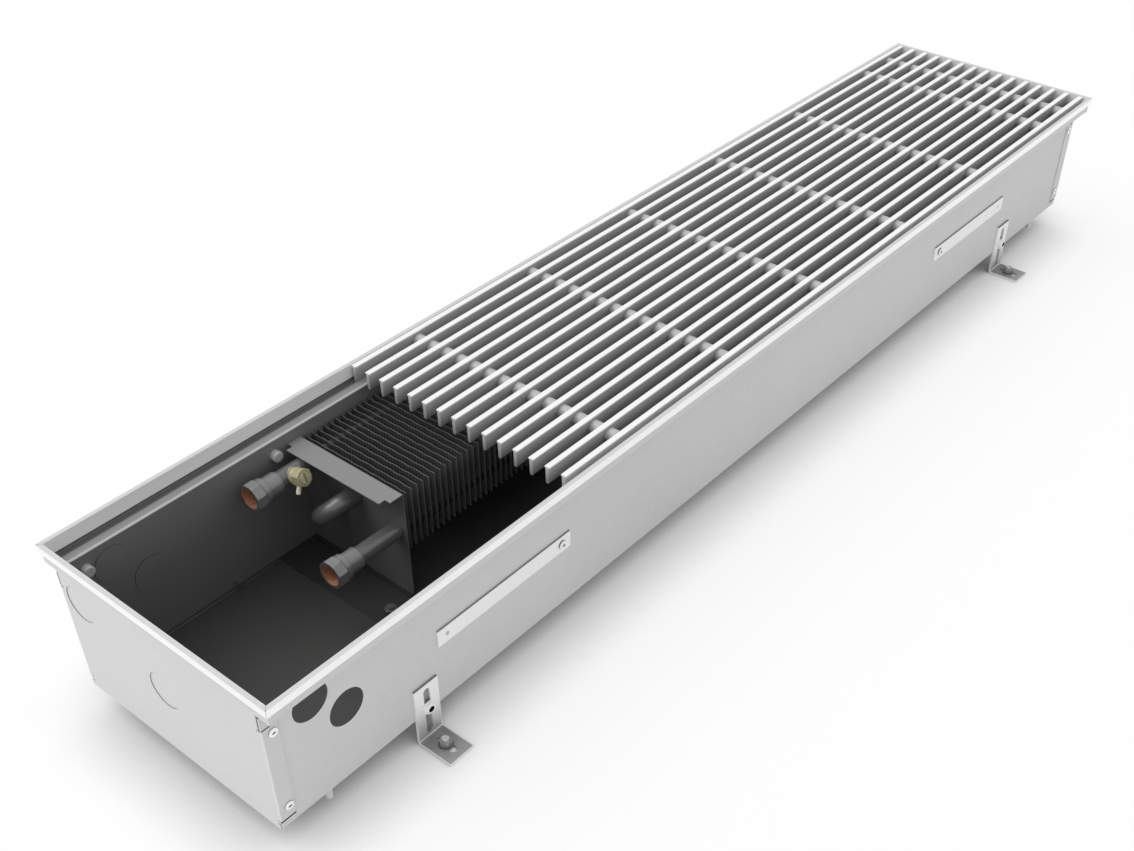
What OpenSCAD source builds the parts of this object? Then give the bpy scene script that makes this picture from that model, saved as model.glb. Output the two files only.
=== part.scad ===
// Trench convector heater, set in a floor: folded trough, edge frame, lift-out grille of
// long bars, and a finned water heat exchanger with two threaded pipe connections.
// +X runs from the connection end to the far end, +Y from the near side to the far side.
// The origin is the middle of the footprint, on the floor under the bracket feet.

/* [Trough] */
// Overall length over the edge frame
trench_l = 1250; // [900:50:2000]
// Overall width over the edge frame
trench_w = 260; // [250:5:320]
// Height from the underside of the trough to the top of the edge frame
trench_h = 140; // [138:1:180]
// Gap between the trough and the floor it stands over
floor_gap = 25; // [22:1:26]
// Thickness of the folded sheet
sheet_t = 1; // [0.8:0.1:1.2]
// Inset of the long walls from the outer edge of the frame
wall_inset = 16; // [15:0.5:17]
// Depth of the ledge's underside below the top of the frame
ledge_depth = 17.2; // [16:0.2:19]
// Inner radius of the sheet bends
bend_r = 1; // [0.6:0.1:1.4]

/* [Edge frame] */
// Width of the frame's top face
frame_top_w = 4; // [3.8:0.1:6]
// Thickness of the frame's top
frame_top_t = 1.2; // [0.8:0.1:2]
// Height of the outer lip
frame_lip_h = 7; // [5:0.5:10]
// Thickness of the outer lip
frame_lip_t = 1.2; // [0.8:0.1:1.4]
// Height of the inner leg
frame_leg_h = 12.7; // [10:0.1:14]
// Thickness of the inner leg
frame_leg_t = 0.8; // [0.6:0.1:1]
// Play between the inner leg and the band of the trough
frame_fit = 0.1; // [0.05:0.05:0.2]
// Gap along the mitre at each corner
mitre_gap = 0.2; // [0.1:0.1:0.5]

/* [End panels] */
// Length of the flange folded round each long wall
flange_l = 14.8; // [12:0.2:20]
// Depth of the flange's upper end below the top of the frame
flange_top_depth = 20; // [19:0.5:22]
// Height of the flange's lower end above the underside of the trough
flange_foot_h = 10; // [6:1:14]
// Width of the relief slits at the corners
slit_w = 0.8; // [0.5:0.1:0.9]
// Depth of the corner tab's slit below the top of the frame
slit_depth = 33.4; // [31:0.2:35]
// Length of the slits' short branches in the end panel
slit_back_l = 3.4; // [2:0.2:6]
// Length of the slit under the corner tab in the flange
slit_side_l = 8.6; // [7:0.2:9]
// Width of the corner tab that the slits part off
tab_w = 11.6; // [11:0.2:12.4]
// Height of the slit beside the corner tab
tab_slit_h = 11; // [8:0.5:12]
// Distance of the rivets from the end of the frame
rivet_from_end = 11.5; // [10.5:0.5:14]
// Depth of the upper rivets below the top of the frame
rivet_top_depth = 40.5; // [40:0.5:50]
// Depth of the lower rivets below the top of the frame
rivet_low_depth = 119; // [110:1:122]
// Diameter of a rivet's head
rivet_head_d = 8; // [6:0.2:8.6]
// Height of a rivet's head
rivet_head_h = 1.3; // [0.8:0.1:1.6]
// Diameter of a rivet's shank
rivet_d = 4; // [3:0.2:4.8]
// Diameter of the hole left by the rivet's mandrel
rivet_hole_d = 2; // [1.4:0.2:2.4]

/* [Pipe entries] */
// Diameter of a pipe entry
entry_d = 33; // [25:1:36]
// First entry in a long wall: distance from the end of the frame
entry_1_from_end = 46; // [40:1:50]
// First entry in a long wall: depth below the top of the frame
entry_1_depth = 40.5; // [38:0.5:44]
// Second entry in a long wall: distance from the end of the frame
entry_2_from_end = 76; // [70:1:90]
// Second entry in a long wall: depth below the top of the frame
entry_2_depth = 70.5; // [68:0.5:90]
// Depth by which a closed entry's disc is punched in
punch_in = 0.6; // [0.3:0.1:0.7]

/* [Heat exchanger] */
// Front end plate: distance of its face from the connection end
plate_from_end = 238.6; // [235:0.2:260]
// Rear end plate: distance of its face from the far end
plate_from_far_end = 110; // [106:1:130]
// Width of the end plates
plate_w = 123; // [119:0.5:124]
// Gap between the end plates and the far wall
plate_far_gap = 0.5; // [0.3:0.1:4]
// Depth of the end plates' top below the top of the frame
plate_depth = 28; // [26:0.5:30]
// Thickness of the end plates
plate_t = 1; // [0.8:0.1:1.5]
// Length of the end plates' top flange
plate_flange_l = 20.5; // [16:0.5:24]
// Length of the end plates' foot flange
plate_foot_l = 5; // [4:0.5:12]
// Width of the notches in the top flange's front corners
plate_notch_w = 6; // [4:0.5:10]
// Length of those notches
plate_notch_l = 6.5; // [4:0.5:10]
// Distance between fins
fin_pitch = 6.6; // [5:0.1:12]
// Thickness of a fin
fin_t = 0.4; // [0.3:0.1:0.8]
// Height of a fin
fin_h = 60; // [60:1:70]
// Depth of the fins' top edge below the end plates' top
fin_drop = 1; // [0:0.5:2]
// Inset of the fins from the end plates' long edges
fin_inset = 1; // [0:0.5:2]
// Gap between an end plate and the first fin
fin_first_gap = 3; // [2:0.5:8]

/* [Water tubes] */
// Outer diameter of the tubes
tube_d = 16; // [14:0.5:17]
// Wall of the tubes
tube_wall = 1; // [0.8:0.1:1.5]
// Play of a tube in the end plates
tube_fit = 0.1; // [0.05:0.05:0.3]
// Supply tube: distance of its axis from the near edge of the end plates
supply_across = 102.5; // [99:0.5:104]
// Supply tube: depth of its axis below the top of the end plates
supply_depth = 11.5; // [9.5:0.5:13]
// Return tube: distance of its axis from the near edge of the end plates
return_across = 11.5; // [9.5:0.5:12.5]
// Return tube: depth of its axis below the top of the end plates
return_depth = 43; // [40:0.5:46]
// Upper middle pass: distance of its axis from the near edge of the end plates
upper_pass_across = 59; // [56:0.5:62]
// Upper middle pass: depth of its axis below the top of the end plates
upper_pass_depth = 29.5; // [27:0.5:31]
// Lower middle pass: distance of its axis from the near edge of the end plates
lower_pass_across = 83; // [81:0.5:86]
// Lower middle pass: depth of its axis below the top of the end plates
lower_pass_depth = 53.5; // [50:0.5:54]
// Straight run of the return bend in front of the end plate
bend_run = 11; // [10:0.5:16]
// Straight run of the hairpins behind the rear end plate
hairpin_run = 5; // [3:0.5:8]

/* [Pipe connections] */
// Distance of the fittings' faces from the connection end
fitting_from_end = 164; // [150:1:170]
// Width across the flats of the octagon
fitting_af = 24; // [23.5:0.5:27]
// Length of the octagon
fitting_oct_l = 9.5; // [8:0.5:12]
// Diameter of the collar behind the octagon
fitting_collar_d = 22.7; // [22:0.1:23.5]
// Length of the collar
fitting_collar_l = 6; // [5:0.5:8]
// Diameter of the sleeve that takes the tube
fitting_sleeve_d = 19.2; // [19:0.1:21]
// Length of the sleeve
fitting_sleeve_l = 13.8; // [12:0.2:16]
// Core diameter of the half inch pipe thread
thread_core_d = 18.6; // [18:0.1:19]
// Outer diameter of the half inch pipe thread
thread_outer_d = 20.9; // [20.5:0.1:21.2]
// Depth of the threaded bore
thread_l = 12; // [10:0.5:13]
// Wall between the threaded bore and the tube's socket
socket_stop = 2; // [1:0.5:2.5]

/* [Air vent] */
// Distance of the vent's axis from the connection end
vent_from_end = 206.5; // [205:0.5:215]
// Angle of the vent's axis above the level
vent_tilt = 17.5; // [0:0.5:30]
// Diameter of the vent's base
vent_base_d = 15.6; // [14:0.2:16]
// Length of the base from the tube
vent_base_l = 4.5; // [3:0.1:6]
// Width across the flats of the vent's hexagon
vent_af = 14.6; // [12:0.2:15]
// Length of the vent's hexagon
vent_hex_l = 8.8; // [6:0.2:10]
// Diameter of the spigot in the tube
vent_spigot_d = 6; // [5:0.5:7]
// Diameter of the vent screw's head
vent_screw_d = 9.6; // [7:0.2:10.4]
// Height of the vent screw's head
vent_screw_h = 1.4; // [1:0.1:2]
// Width of the slot in the vent screw's head
vent_slot_w = 2.2; // [1.5:0.1:2.6]
// Diameter of the vent screw's stem
vent_stem_d = 3; // [2:0.5:4]
// Length of the stem inside the body
vent_stem_l = 6; // [5:0.5:7]
// Play of the stem in the body
vent_play = 0.05; // [0.03:0.01:0.08]
// Diameter of the outlet nozzle
nozzle_d = 4; // [3.5:0.1:4.2]
// Distance between the nozzle and the vent's base
nozzle_rise = 0.3; // [0.1:0.1:0.5]
// Bore of the outlet nozzle
nozzle_bore_d = 2; // [1.4:0.1:2.4]
// Length of the nozzle from the hexagon's axis
nozzle_l = 14.8; // [13:0.2:17]
// Depth of the nozzle's seat in the body
nozzle_seat = 3; // [2:0.2:4]

/* [Grille] */
// Distance of the bars' sawn ends from the connection end
grille_from_end = 313; // [280:1:340]
// Gap between the bars and the frame at the far end
grille_end_gap = 0.8; // [0.5:0.1:2]
// Gap between the outermost bar and the frame on the far side
grille_far_gap = 1.2; // [0.6:0.1:2]
// Gap between the outermost bar and the frame on the near side
grille_near_gap = 5.9; // [2:0.1:6.5]
// Number of bars
bar_count = 15; // [11:1:15]
// Width of a bar's head
bar_head_w = 5.1; // [4.5:0.1:6]
// Height of a bar's head
bar_head_h = 1.3; // [1:0.1:2]
// Depth of the groove under the head
bar_groove_h = 0.6; // [0.4:0.1:1]
// Width of the web in the groove
bar_neck_w = 2.7; // [2.4:0.1:3]
// Width of the web below the groove
bar_web_w = 3.3; // [3.1:0.1:3.6]
// Width of the web at its foot
bar_foot_w = 2.5; // [2:0.1:3]
// Distance from the sawn ends to the first row of spacers
rod_first = 75.4; // [60:0.5:90]
// Distance between rows of spacers
rod_pitch = 153.45; // [100:0.5:200]
// Distance of the last row from the bars' far ends
rod_last = 36.6; // [30:0.5:50]
// Diameter of the rods
rod_d = 6; // [5:0.5:7]
// Outer diameter of the spacer tubes
spacer_d = 12; // [10:0.5:12]
// Depth of the rods below the top of the frame
rod_depth = 9; // [8.5:0.1:9.5]
// Play of the rods in bars and spacers
rod_fit = 0.1; // [0.05:0.05:0.3]
// Play between a spacer and the bars beside it
spacer_gap = 0.1; // [0.05:0.05:0.2]

/* [Brackets] */
// Distance of a bracket's middle from the end of the frame
bracket_from_end = 150; // [120:5:160]
// Width of a bracket
bracket_w = 25.7; // [22:0.1:30]
// Thickness of a bracket
bracket_t = 2; // [1.8:0.1:2.5]
// Height of a bracket
bracket_h = 58.8; // [56:0.2:60]
// Reach of a bracket's foot from the wall
bracket_reach = 36.2; // [34:0.2:44]
// Width of the slots
slot_w = 6.6; // [6.4:0.1:8]
// Lower end of the upright slot above the floor
slot_low = 4.5; // [4.4:0.1:6]
// Upper end of the upright slot above the floor
slot_high = 54.3; // [50:0.1:55]
// Inner end of the foot's slot from the wall
foot_slot_in = 9; // [8:0.5:10]
// Outer end of the foot's slot from the wall
foot_slot_out = 30; // [28:0.5:32]
// Play between a sliding piece and the wall or the washer beside it
slide_gap = 0.1; // [0.05:0.05:0.2]
// Height of the clamping bolt above the floor
bolt_z = 34; // [32:0.5:38]
// Diameter of bolts and anchors
bolt_d = 6; // [5:0.5:6]
// Diameter of the bolt's head
bolt_head_d = 10.5; // [9:0.5:11]
// Height of the bolt's head
bolt_head_h = 2.8; // [2:0.2:4]
// Width across the flats of the bolt's socket
bolt_socket_af = 5; // [4:0.5:5.5]
// Depth of the bolt's socket
bolt_socket_h = 2; // [1:0.2:2]
// Diameter of a washer
washer_d = 12.6; // [12:0.2:14]
// Thickness of a washer
washer_t = 1.2; // [0.8:0.1:1.6]
// Diameter of the insert nut inside the wall
insert_d = 9; // [8:0.5:11]
// Thickness of the insert nut inside the wall
insert_h = 1; // [0.8:0.1:2]
// Distance of the anchor from the wall
anchor_out = 18.5; // [17:0.5:21]
// Width across the flats of a nut
nut_af = 10; // [9:0.5:11]
// Height of a nut
nut_h = 4; // [4:0.5:6]
// Height by which an anchor stands above its nut
anchor_proud = 2; // [1:0.5:4]
// Clearance of bolts in their holes
hole_fit = 0.2; // [0.1:0.1:0.4]

/* [Levelling screws] */
// Distance of a levelling screw from the end of the frame
leveller_from_end = 51.5; // [45:0.5:60]
// Distance of a levelling screw from the side of the frame
leveller_inset = 22.6; // [22.6:0.2:28]
// Diameter of a levelling screw
leveller_d = 6; // [5:0.5:7]
// Height of the screw's lower end above the floor
leveller_z = 12; // [8:0.5:14]
// Diameter of the round nut on the trough's floor
leveller_nut_d = 8.8; // [8:0.2:9]
// Height by which the screw stands above its nut
leveller_proud = 3; // [2:0.5:6]
// Width of the screwdriver slot
driver_slot_w = 1.2; // [0.8:0.1:1.5]
// Depth of the screwdriver slot
driver_slot_h = 1.4; // [1:0.1:2]
// Radial play of the screw in its nut
leveller_play = 0.05; // [0.03:0.01:0.08]

/* [Straps] */
// Length of a strap
strap_l = 155; // [120:5:160]
// Width of a strap
strap_w = 16; // [14:0.5:18]
// Thickness of a strap
strap_t = 1.5; // [1:0.1:2]
// Distance of a strap's middle from the end of the frame
strap_from_end = 245.2; // [243:0.1:260]
// Depth of a strap's middle below the top of the frame
strap_depth = 72; // [68:1:80]
// Distance of the strap's holes from its ends
strap_hole_in = 10.5; // [8:0.5:14]
// Diameter of the strap's holes
strap_hole_d = 4.2; // [4:0.1:5]
// Radial play of the screw in the strap
strap_play = 0.05; // [0.03:0.01:0.08]
// Diameter of the strap screw's head
strap_head_d = 7.6; // [7:0.2:9]
// Height of the strap screw's head
strap_head_h = 2.2; // [1.6:0.1:3]
// Length of the strap screw inside the wall
strap_screw_in = 1; // [0.5:0.1:2]

/* [Floor plates and wall studs] */
// Reach of a floor plate in front of the end plate that stands on it
floor_plate_reach = 43; // [38:0.5:46]
// Length of a floor plate
floor_plate_l = 64; // [60:1:80]
// Width by which a floor plate reaches past the end plates' near edge
floor_plate_wider = 13.5; // [6:0.5:40]
// Thickness of a floor plate
floor_plate_t = 1; // [0.8:0.1:1.5]
// Distance of the floor stud in front of the end plate
floor_stud_out = 27; // [20:0.5:30]
// Height by which the floor stud stands above its nut
floor_stud_proud = 1.8; // [1:0.1:3]
// Diameter of the wall studs
wall_stud_d = 10; // [7:0.5:11]
// Length of the wall studs
wall_stud_l = 6; // [4:0.5:8]
// First wall stud: distance from the connection end
wall_stud_1_from_end = 24; // [20:1:25]
// Second wall stud: distance from the connection end
wall_stud_2_from_end = 210; // [200:1:215]
// Depth of the wall studs below the top of the frame
wall_stud_depth = 31.6; // [28:0.2:33]

/* [Hidden] */

$fn = 48;
// Overrun of cuts past the faces they open
cut = 1;

half_l = trench_l / 2;
half_w = trench_w / 2;
top_z = floor_gap + trench_h;
floor_top_z = floor_gap + sheet_t;
ledge_z = top_z - ledge_depth;
ledge_top_z = ledge_z + sheet_t;
band_top_z = top_z - frame_top_t;
band_inset = frame_top_w - frame_leg_t - frame_fit - sheet_t;
panel_inner = band_inset + sheet_t;
wall_inner = wall_inset + sheet_t;
shell_l = trench_l - 2 * panel_inner;

plate_x = plate_from_end - half_l;
rear_plate_x = half_l - plate_from_far_end;
plate_y = half_w - wall_inner - plate_far_gap - plate_w;
plate_top_z = top_z - plate_depth;
plate_foot_z = floor_top_z + floor_plate_t;
fin_y = plate_y + fin_inset;
fin_w = plate_w - 2 * fin_inset;
fin_z = plate_top_z - fin_drop - fin_h;
fin_first_x = plate_x + plate_t + fin_first_gap;
fin_span = rear_plate_x - plate_t - fin_first_gap - fin_t - fin_first_x;
fin_count = 1 + floor(fin_span / fin_pitch);

tube_r = tube_d / 2;
bore_r = tube_r - tube_wall;
supply_at = [plate_y + supply_across, plate_top_z - supply_depth];
return_at = [plate_y + return_across, plate_top_z - return_depth];
upper_pass_at = [plate_y + upper_pass_across, plate_top_z - upper_pass_depth];
lower_pass_at = [plate_y + lower_pass_across, plate_top_z - lower_pass_depth];
tube_places = [supply_at, return_at, upper_pass_at, lower_pass_at];
fitting_x = fitting_from_end - half_l;
fitting_l = fitting_oct_l + fitting_collar_l + fitting_sleeve_l;
tube_start_x = fitting_x + thread_l + socket_stop;
hairpin_x = rear_plate_x + hairpin_run;

vent_x = vent_from_end - half_l;
vent_face = tube_r + vent_base_l + vent_hex_l;
nozzle_out = tube_r + vent_base_l + nozzle_rise + nozzle_d / 2;

grille_x = grille_from_end - half_l;
grille_end_x = half_l - frame_top_w - grille_end_gap;
bar_l = grille_end_x - grille_x;
bar_span = trench_w - 2 * frame_top_w - grille_far_gap - grille_near_gap - bar_head_w;
bar_pitch = bar_span / (bar_count - 1);
bar_first_y = frame_top_w + grille_near_gap + bar_head_w / 2 - half_w;
bar_h = ledge_depth - sheet_t;
rod_count = 1 + floor((bar_l - rod_first - rod_last) / rod_pitch);
rod_xs = concat([for (i = [0 : rod_count - 1]) grille_x + rod_first + i * rod_pitch],
    [grille_end_x - rod_last]);
rod_z = top_z - rod_depth;

wall_out = half_w - wall_inset;
bracket_x = half_l - bracket_from_end;
bolt_r = bolt_d / 2;
strap_x = half_l - strap_from_end;
strap_z = top_z - strap_depth;
strap_screw_x = strap_x - strap_l / 2 + strap_hole_in;
strap_shank_d = strap_hole_d - 2 * strap_play;
leveller_x = half_l - leveller_from_end;
leveller_y = half_w - leveller_inset;
leveller_top_z = floor_top_z + nut_h + leveller_proud;

// Placement helpers
module on_both_sides() {
    children();
    mirror([0, 1, 0]) children();
}

module on_both_ends() {
    children();
    mirror([1, 0, 0]) children();
}

module at_corner(end, side) {
    mirror([end < 0 ? 1 : 0, 0, 0]) mirror([0, side < 0 ? 1 : 0, 0]) children();
}

// Places a piece drawn with the front end plate's face at X = 0 at both ends of the exchanger
module at_exchanger_ends() {
    translate([plate_x, 0, 0]) children();
    translate([rear_plate_x, 0, 0]) mirror([1, 0, 0]) children();
}

module at_floor_studs(height) {
    at_exchanger_ends() translate([-floor_stud_out, plate_y, height]) children();
}

// Turns a piece built along +Z so that it points out of the far wall, along +Y
module facing_far() {
    rotate([-90, 0, 0]) children();
}

module facing_near() {
    rotate([90, 0, 0]) children();
}

// Sweeps a profile drawn in Y and Z along +X
module along_x(length) {
    rotate([90, 0, 90]) linear_extrude(length) children();
}

// Quarter ring of bent sheet, turned into one of four quadrants
module sheet_bend(quadrant, thickness) {
    rotate(90 * quadrant)
        intersection() {
            difference() {
                circle(r = bend_r + thickness);
                circle(r = bend_r);
            }
            square(bend_r + thickness);
        }
}

module hexagon(across_flats, height) {
    cylinder(d = across_flats / cos(30), h = height, $fn = 6);
}

// Hexagon whose two ends are chamfered by cones
module turned_hexagon(across_flats, height) {
    corner_r = across_flats / cos(30) / 2;
    flat_r = across_flats / 2;
    intersection() {
        hexagon(across_flats, height);
        cylinder(r1 = flat_r, r2 = flat_r + height, h = height);
        cylinder(r1 = flat_r + height, r2 = flat_r, h = height);
        cylinder(r = corner_r, h = height);
    }
}

module tube(outer_d, inner_d, length) {
    difference() {
        cylinder(d = outer_d, h = length);
        translate([0, 0, -cut]) cylinder(d = inner_d, h = length + 2 * cut);
    }
}

module slot_hole(width, length, depth) {
    for (end = [-1, 1])
        translate([end * (length - width) / 2, 0, 0]) cylinder(d = width, h = depth);
    translate([-(length - width) / 2, -width / 2, 0]) cube([length - width, width, depth]);
}

// Trough
module shell_half_profile() {
    translate([band_inset, ledge_top_z + bend_r])
        square([sheet_t, band_top_z - ledge_top_z - bend_r]);
    translate([panel_inner + bend_r, ledge_top_z + bend_r]) sheet_bend(2, sheet_t);
    translate([panel_inner + bend_r, ledge_z])
        square([wall_inset - panel_inner - 2 * bend_r, sheet_t]);
    translate([wall_inset - bend_r, ledge_z - bend_r]) sheet_bend(0, sheet_t);
    translate([wall_inset, floor_top_z + bend_r])
        square([sheet_t, ledge_z - floor_top_z - 2 * bend_r]);
    translate([wall_inner + bend_r, floor_top_z + bend_r]) sheet_bend(2, sheet_t);
    translate([wall_inner + bend_r, floor_gap])
        square([half_w - wall_inner - bend_r, sheet_t]);
}

module shell_profile() {
    translate([-half_w, 0]) shell_half_profile();
    mirror([1, 0]) translate([-half_w, 0]) shell_half_profile();
}

module entry_places() {
    translate([entry_1_from_end - half_l, 0, top_z - entry_1_depth]) children();
    translate([entry_2_from_end - half_l, 0, top_z - entry_2_depth]) children();
}

module rivet_places() {
    for (depth = [rivet_top_depth, rivet_low_depth])
        on_both_sides() on_both_ends()
            translate([half_l - rivet_from_end, wall_out, top_z - depth]) children();
}

module wall_holes() {
    rivet_places()
        translate([0, -sheet_t - cut, 0])
            facing_far() cylinder(d = rivet_d, h = 2 * sheet_t + 2 * cut);
    on_both_sides() on_both_ends() {
        translate([bracket_x, wall_out - sheet_t - cut, bolt_z])
            facing_far() cylinder(d = bolt_d, h = sheet_t + 2 * cut);
        translate([strap_screw_x, wall_out - sheet_t - cut, strap_z])
            facing_far() cylinder(d = strap_shank_d, h = sheet_t + 2 * cut);
    }
}

module floor_holes() {
    on_both_sides() on_both_ends()
        translate([leveller_x, leveller_y, floor_gap - cut])
            cylinder(d = leveller_d + 2 * hole_fit, h = sheet_t + 2 * cut);
    at_floor_studs(floor_gap - cut) cylinder(d = bolt_d, h = sheet_t + 2 * cut);
}

module trough_shell() {
    color("gainsboro") {
        difference() {
            translate([-shell_l / 2, 0, 0]) along_x(shell_l) shell_profile();
            // open entries in the near wall
            entry_places()
                translate([0, -wall_out - cut, 0])
                    facing_far() cylinder(d = entry_d, h = sheet_t + 2 * cut);
            // outer side of the closed entries in the far wall
            entry_places()
                translate([0, wall_out - punch_in, 0])
                    facing_far() cylinder(d = entry_d, h = punch_in + cut);
            wall_holes();
            floor_holes();
        }
        // discs of the closed entries, punched inwards
        entry_places()
            translate([0, wall_out - sheet_t - punch_in, 0])
                facing_far() cylinder(d = entry_d, h = sheet_t);
    }
}

// End panels, drawn at the far end and mirrored for the connection end
module panel_plate() {
    translate([half_l - panel_inner, -wall_out, floor_gap])
        cube([sheet_t, 2 * wall_out, ledge_top_z - floor_gap]);
    translate([half_l - panel_inner, band_inset - half_w, ledge_z])
        cube([sheet_t, 2 * (half_w - band_inset), band_top_z - ledge_z]);
}

module panel_flange() {
    flange_z = floor_gap + flange_foot_h;
    flange_h = top_z - flange_top_depth - flange_z;
    translate([half_l - panel_inner, wall_out, flange_z]) {
        intersection() {
            cylinder(r = sheet_t, h = flange_h);
            translate([0, -sheet_t, 0]) cube([sheet_t, 2 * sheet_t, flange_h]);
        }
        translate([-flange_l, 0, 0]) cube([flange_l, sheet_t, flange_h]);
    }
}

module relief_slits() {
    slit_z = top_z - slit_depth;
    foot_z = floor_gap + flange_foot_h;
    tab_z = slit_z + slit_w;
    flange_h = top_z - flange_top_depth - tab_z;
    translate([half_l - panel_inner - cut, wall_out, 0]) {
        // along the corner, between the panel and the wall's end
        translate([0, -slit_w, slit_z]) cube([sheet_t + 2 * cut, slit_w, ledge_z - slit_z]);
        translate([0, -slit_w, floor_gap - cut]) cube([sheet_t + 2 * cut, slit_w, flange_foot_h + cut]);
        // short branches in the panel
        for (branch_z = [slit_z, foot_z - slit_w])
            translate([0, -slit_back_l, branch_z]) cube([sheet_t + 2 * cut, slit_back_l, slit_w]);
    }
    // under and beside the corner tab in the flange
    translate([half_l - panel_inner + sheet_t - slit_side_l, wall_out - cut, slit_z])
        cube([slit_side_l + cut, sheet_t + 2 * cut, slit_w]);
    translate([half_l - panel_inner + sheet_t - tab_w, wall_out - cut, tab_z + flange_h - tab_slit_h])
        cube([slit_w, sheet_t + 2 * cut, tab_slit_h + cut]);
}

module end_panel_right() {
    color("gainsboro")
        difference() {
            union() {
                panel_plate();
                on_both_sides() panel_flange();
            }
            on_both_sides() relief_slits();
            rivet_places()
                translate([0, -cut, 0]) facing_far() cylinder(d = rivet_d, h = sheet_t + 2 * cut);
        }
}

module punched_entries(start_x, length) {
    for (place = [supply_at, return_at])
        translate([start_x, place[0], place[1]])
            rotate([0, 90, 0]) cylinder(d = entry_d, h = length);
}

module end_panel_left() {
    color("gainsboro") {
        difference() {
            mirror([1, 0, 0]) end_panel_right();
            punched_entries(band_inset - half_l - cut, punch_in + cut);
        }
        punched_entries(band_inset + punch_in - half_l, sheet_t);
    }
}

// Edge frame: one profile, mitred at the corners
module frame_profile() {
    leg_in = frame_top_w - frame_leg_t;
    translate([0, top_z])
        polygon([
            [0, 0], [0, -frame_lip_h], [frame_lip_t, -frame_lip_h], [frame_lip_t, -frame_top_t],
            [leg_in, -frame_top_t], [leg_in, -frame_leg_h],
            [frame_top_w, -frame_leg_h], [frame_top_w, 0]]);
}

module frame_side(length) {
    intersection() {
        translate([-length / 2, 0, 0]) along_x(length) frame_profile();
        linear_extrude(top_z + cut)
            polygon([
                [-length / 2 + mitre_gap / 2, 0], [length / 2 - mitre_gap / 2, 0],
                [length / 2 - mitre_gap / 2 - frame_top_w, frame_top_w],
                [-length / 2 + mitre_gap / 2 + frame_top_w, frame_top_w]]);
    }
}

module frame_near() {
    color("whitesmoke") translate([0, -half_w, 0]) frame_side(trench_l);
}

module frame_far() {
    color("whitesmoke") mirror([0, 1, 0]) translate([0, -half_w, 0]) frame_side(trench_l);
}

module frame_right() {
    color("whitesmoke") rotate(90) translate([0, -half_l, 0]) frame_side(trench_w);
}

module frame_left() {
    color("whitesmoke") rotate(-90) translate([0, -half_l, 0]) frame_side(trench_w);
}

// Rivets, screws and studs of the trough
module rivet() {
    grip = 2 * sheet_t;
    translate([0, 0, -grip - rivet_head_h])
        difference() {
            union() {
                cylinder(d = rivet_d, h = grip + 2 * rivet_head_h);
                cylinder(d = rivet_d + 2 * hole_fit + rivet_head_h, h = rivet_head_h);
                translate([0, 0, grip + rivet_head_h])
                    cylinder(d1 = rivet_head_d, d2 = rivet_head_d - rivet_head_h, h = rivet_head_h);
            }
            translate([0, 0, rivet_head_h]) cylinder(d = rivet_hole_d, h = grip + rivet_head_h + cut);
        }
}

module corner_rivets() {
    color("white") rivet_places() translate([0, sheet_t, 0]) facing_far() rivet();
}

module wall_studs() {
    for (from_end = [wall_stud_1_from_end, wall_stud_2_from_end])
        color("darkgray")
            translate([from_end - half_l, wall_out - sheet_t, top_z - wall_stud_depth])
                facing_near() cylinder(d = wall_stud_d, h = wall_stud_l);
}

module bracket_bolts() {
    head_out = bracket_t + 2 * slide_gap + washer_t;
    neck_h = (bolt_head_h - bolt_socket_h) / 2;
    color("silver")
        on_both_sides() on_both_ends()
            translate([bracket_x, wall_out, bolt_z])
                facing_far()
                    difference() {
                        union() {
                            translate([0, 0, -sheet_t - insert_h])
                                cylinder(d = bolt_d, h = sheet_t + insert_h + head_out + neck_h);
                            translate([0, 0, head_out])
                                cylinder(d1 = bolt_head_d, d2 = bolt_head_d - bolt_head_h / 2,
                                    h = bolt_head_h);
                        }
                        translate([0, 0, head_out + bolt_head_h - bolt_socket_h])
                            hexagon(bolt_socket_af, bolt_socket_h + cut);
                    }
}

module bracket_washers() {
    color("silver")
        on_both_sides() on_both_ends()
            translate([bracket_x, wall_out + bracket_t + 2 * slide_gap, bolt_z])
                facing_far() tube(washer_d, bolt_d + 2 * hole_fit, washer_t);
}

module bracket_nuts() {
    color("dimgray")
        on_both_sides() on_both_ends()
            translate([bracket_x, wall_out - sheet_t, bolt_z])
                facing_near() tube(insert_d, bolt_d, insert_h);
}

module strap_screws() {
    head_out = strap_t + 2 * slide_gap;
    neck_h = (strap_head_h - driver_slot_h) / 2;
    color("white")
        on_both_sides() on_both_ends()
            translate([strap_screw_x, wall_out, strap_z])
                facing_far()
                    difference() {
                        union() {
                            translate([0, 0, -sheet_t - strap_screw_in])
                                cylinder(d = strap_shank_d,
                                    h = sheet_t + strap_screw_in + head_out + neck_h);
                            translate([0, 0, head_out])
                                cylinder(d1 = strap_head_d, d2 = strap_head_d - strap_head_h / 2,
                                    h = strap_head_h);
                        }
                        for (turn = [0, 90])
                            rotate(turn)
                                translate([-strap_head_d / 4, -driver_slot_w / 2,
                                    head_out + strap_head_h - driver_slot_h])
                                    cube([strap_head_d / 2, driver_slot_w, driver_slot_h + cut]);
                    }
}

module levelling_nuts() {
    color("dimgray")
        on_both_sides() on_both_ends()
            translate([leveller_x, leveller_y, floor_top_z])
                tube(leveller_nut_d, leveller_d + 2 * leveller_play, nut_h);
}

// Plates, studs and nuts under the heat exchanger's ends
module floor_plates() {
    color("dimgray")
        difference() {
            at_exchanger_ends()
                translate([-floor_plate_reach, plate_y - floor_plate_wider, floor_top_z])
                    cube([floor_plate_l, plate_w + floor_plate_wider, floor_plate_t]);
            at_floor_studs(floor_top_z - cut) cylinder(d = bolt_d, h = floor_plate_t + 2 * cut);
        }
}

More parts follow.
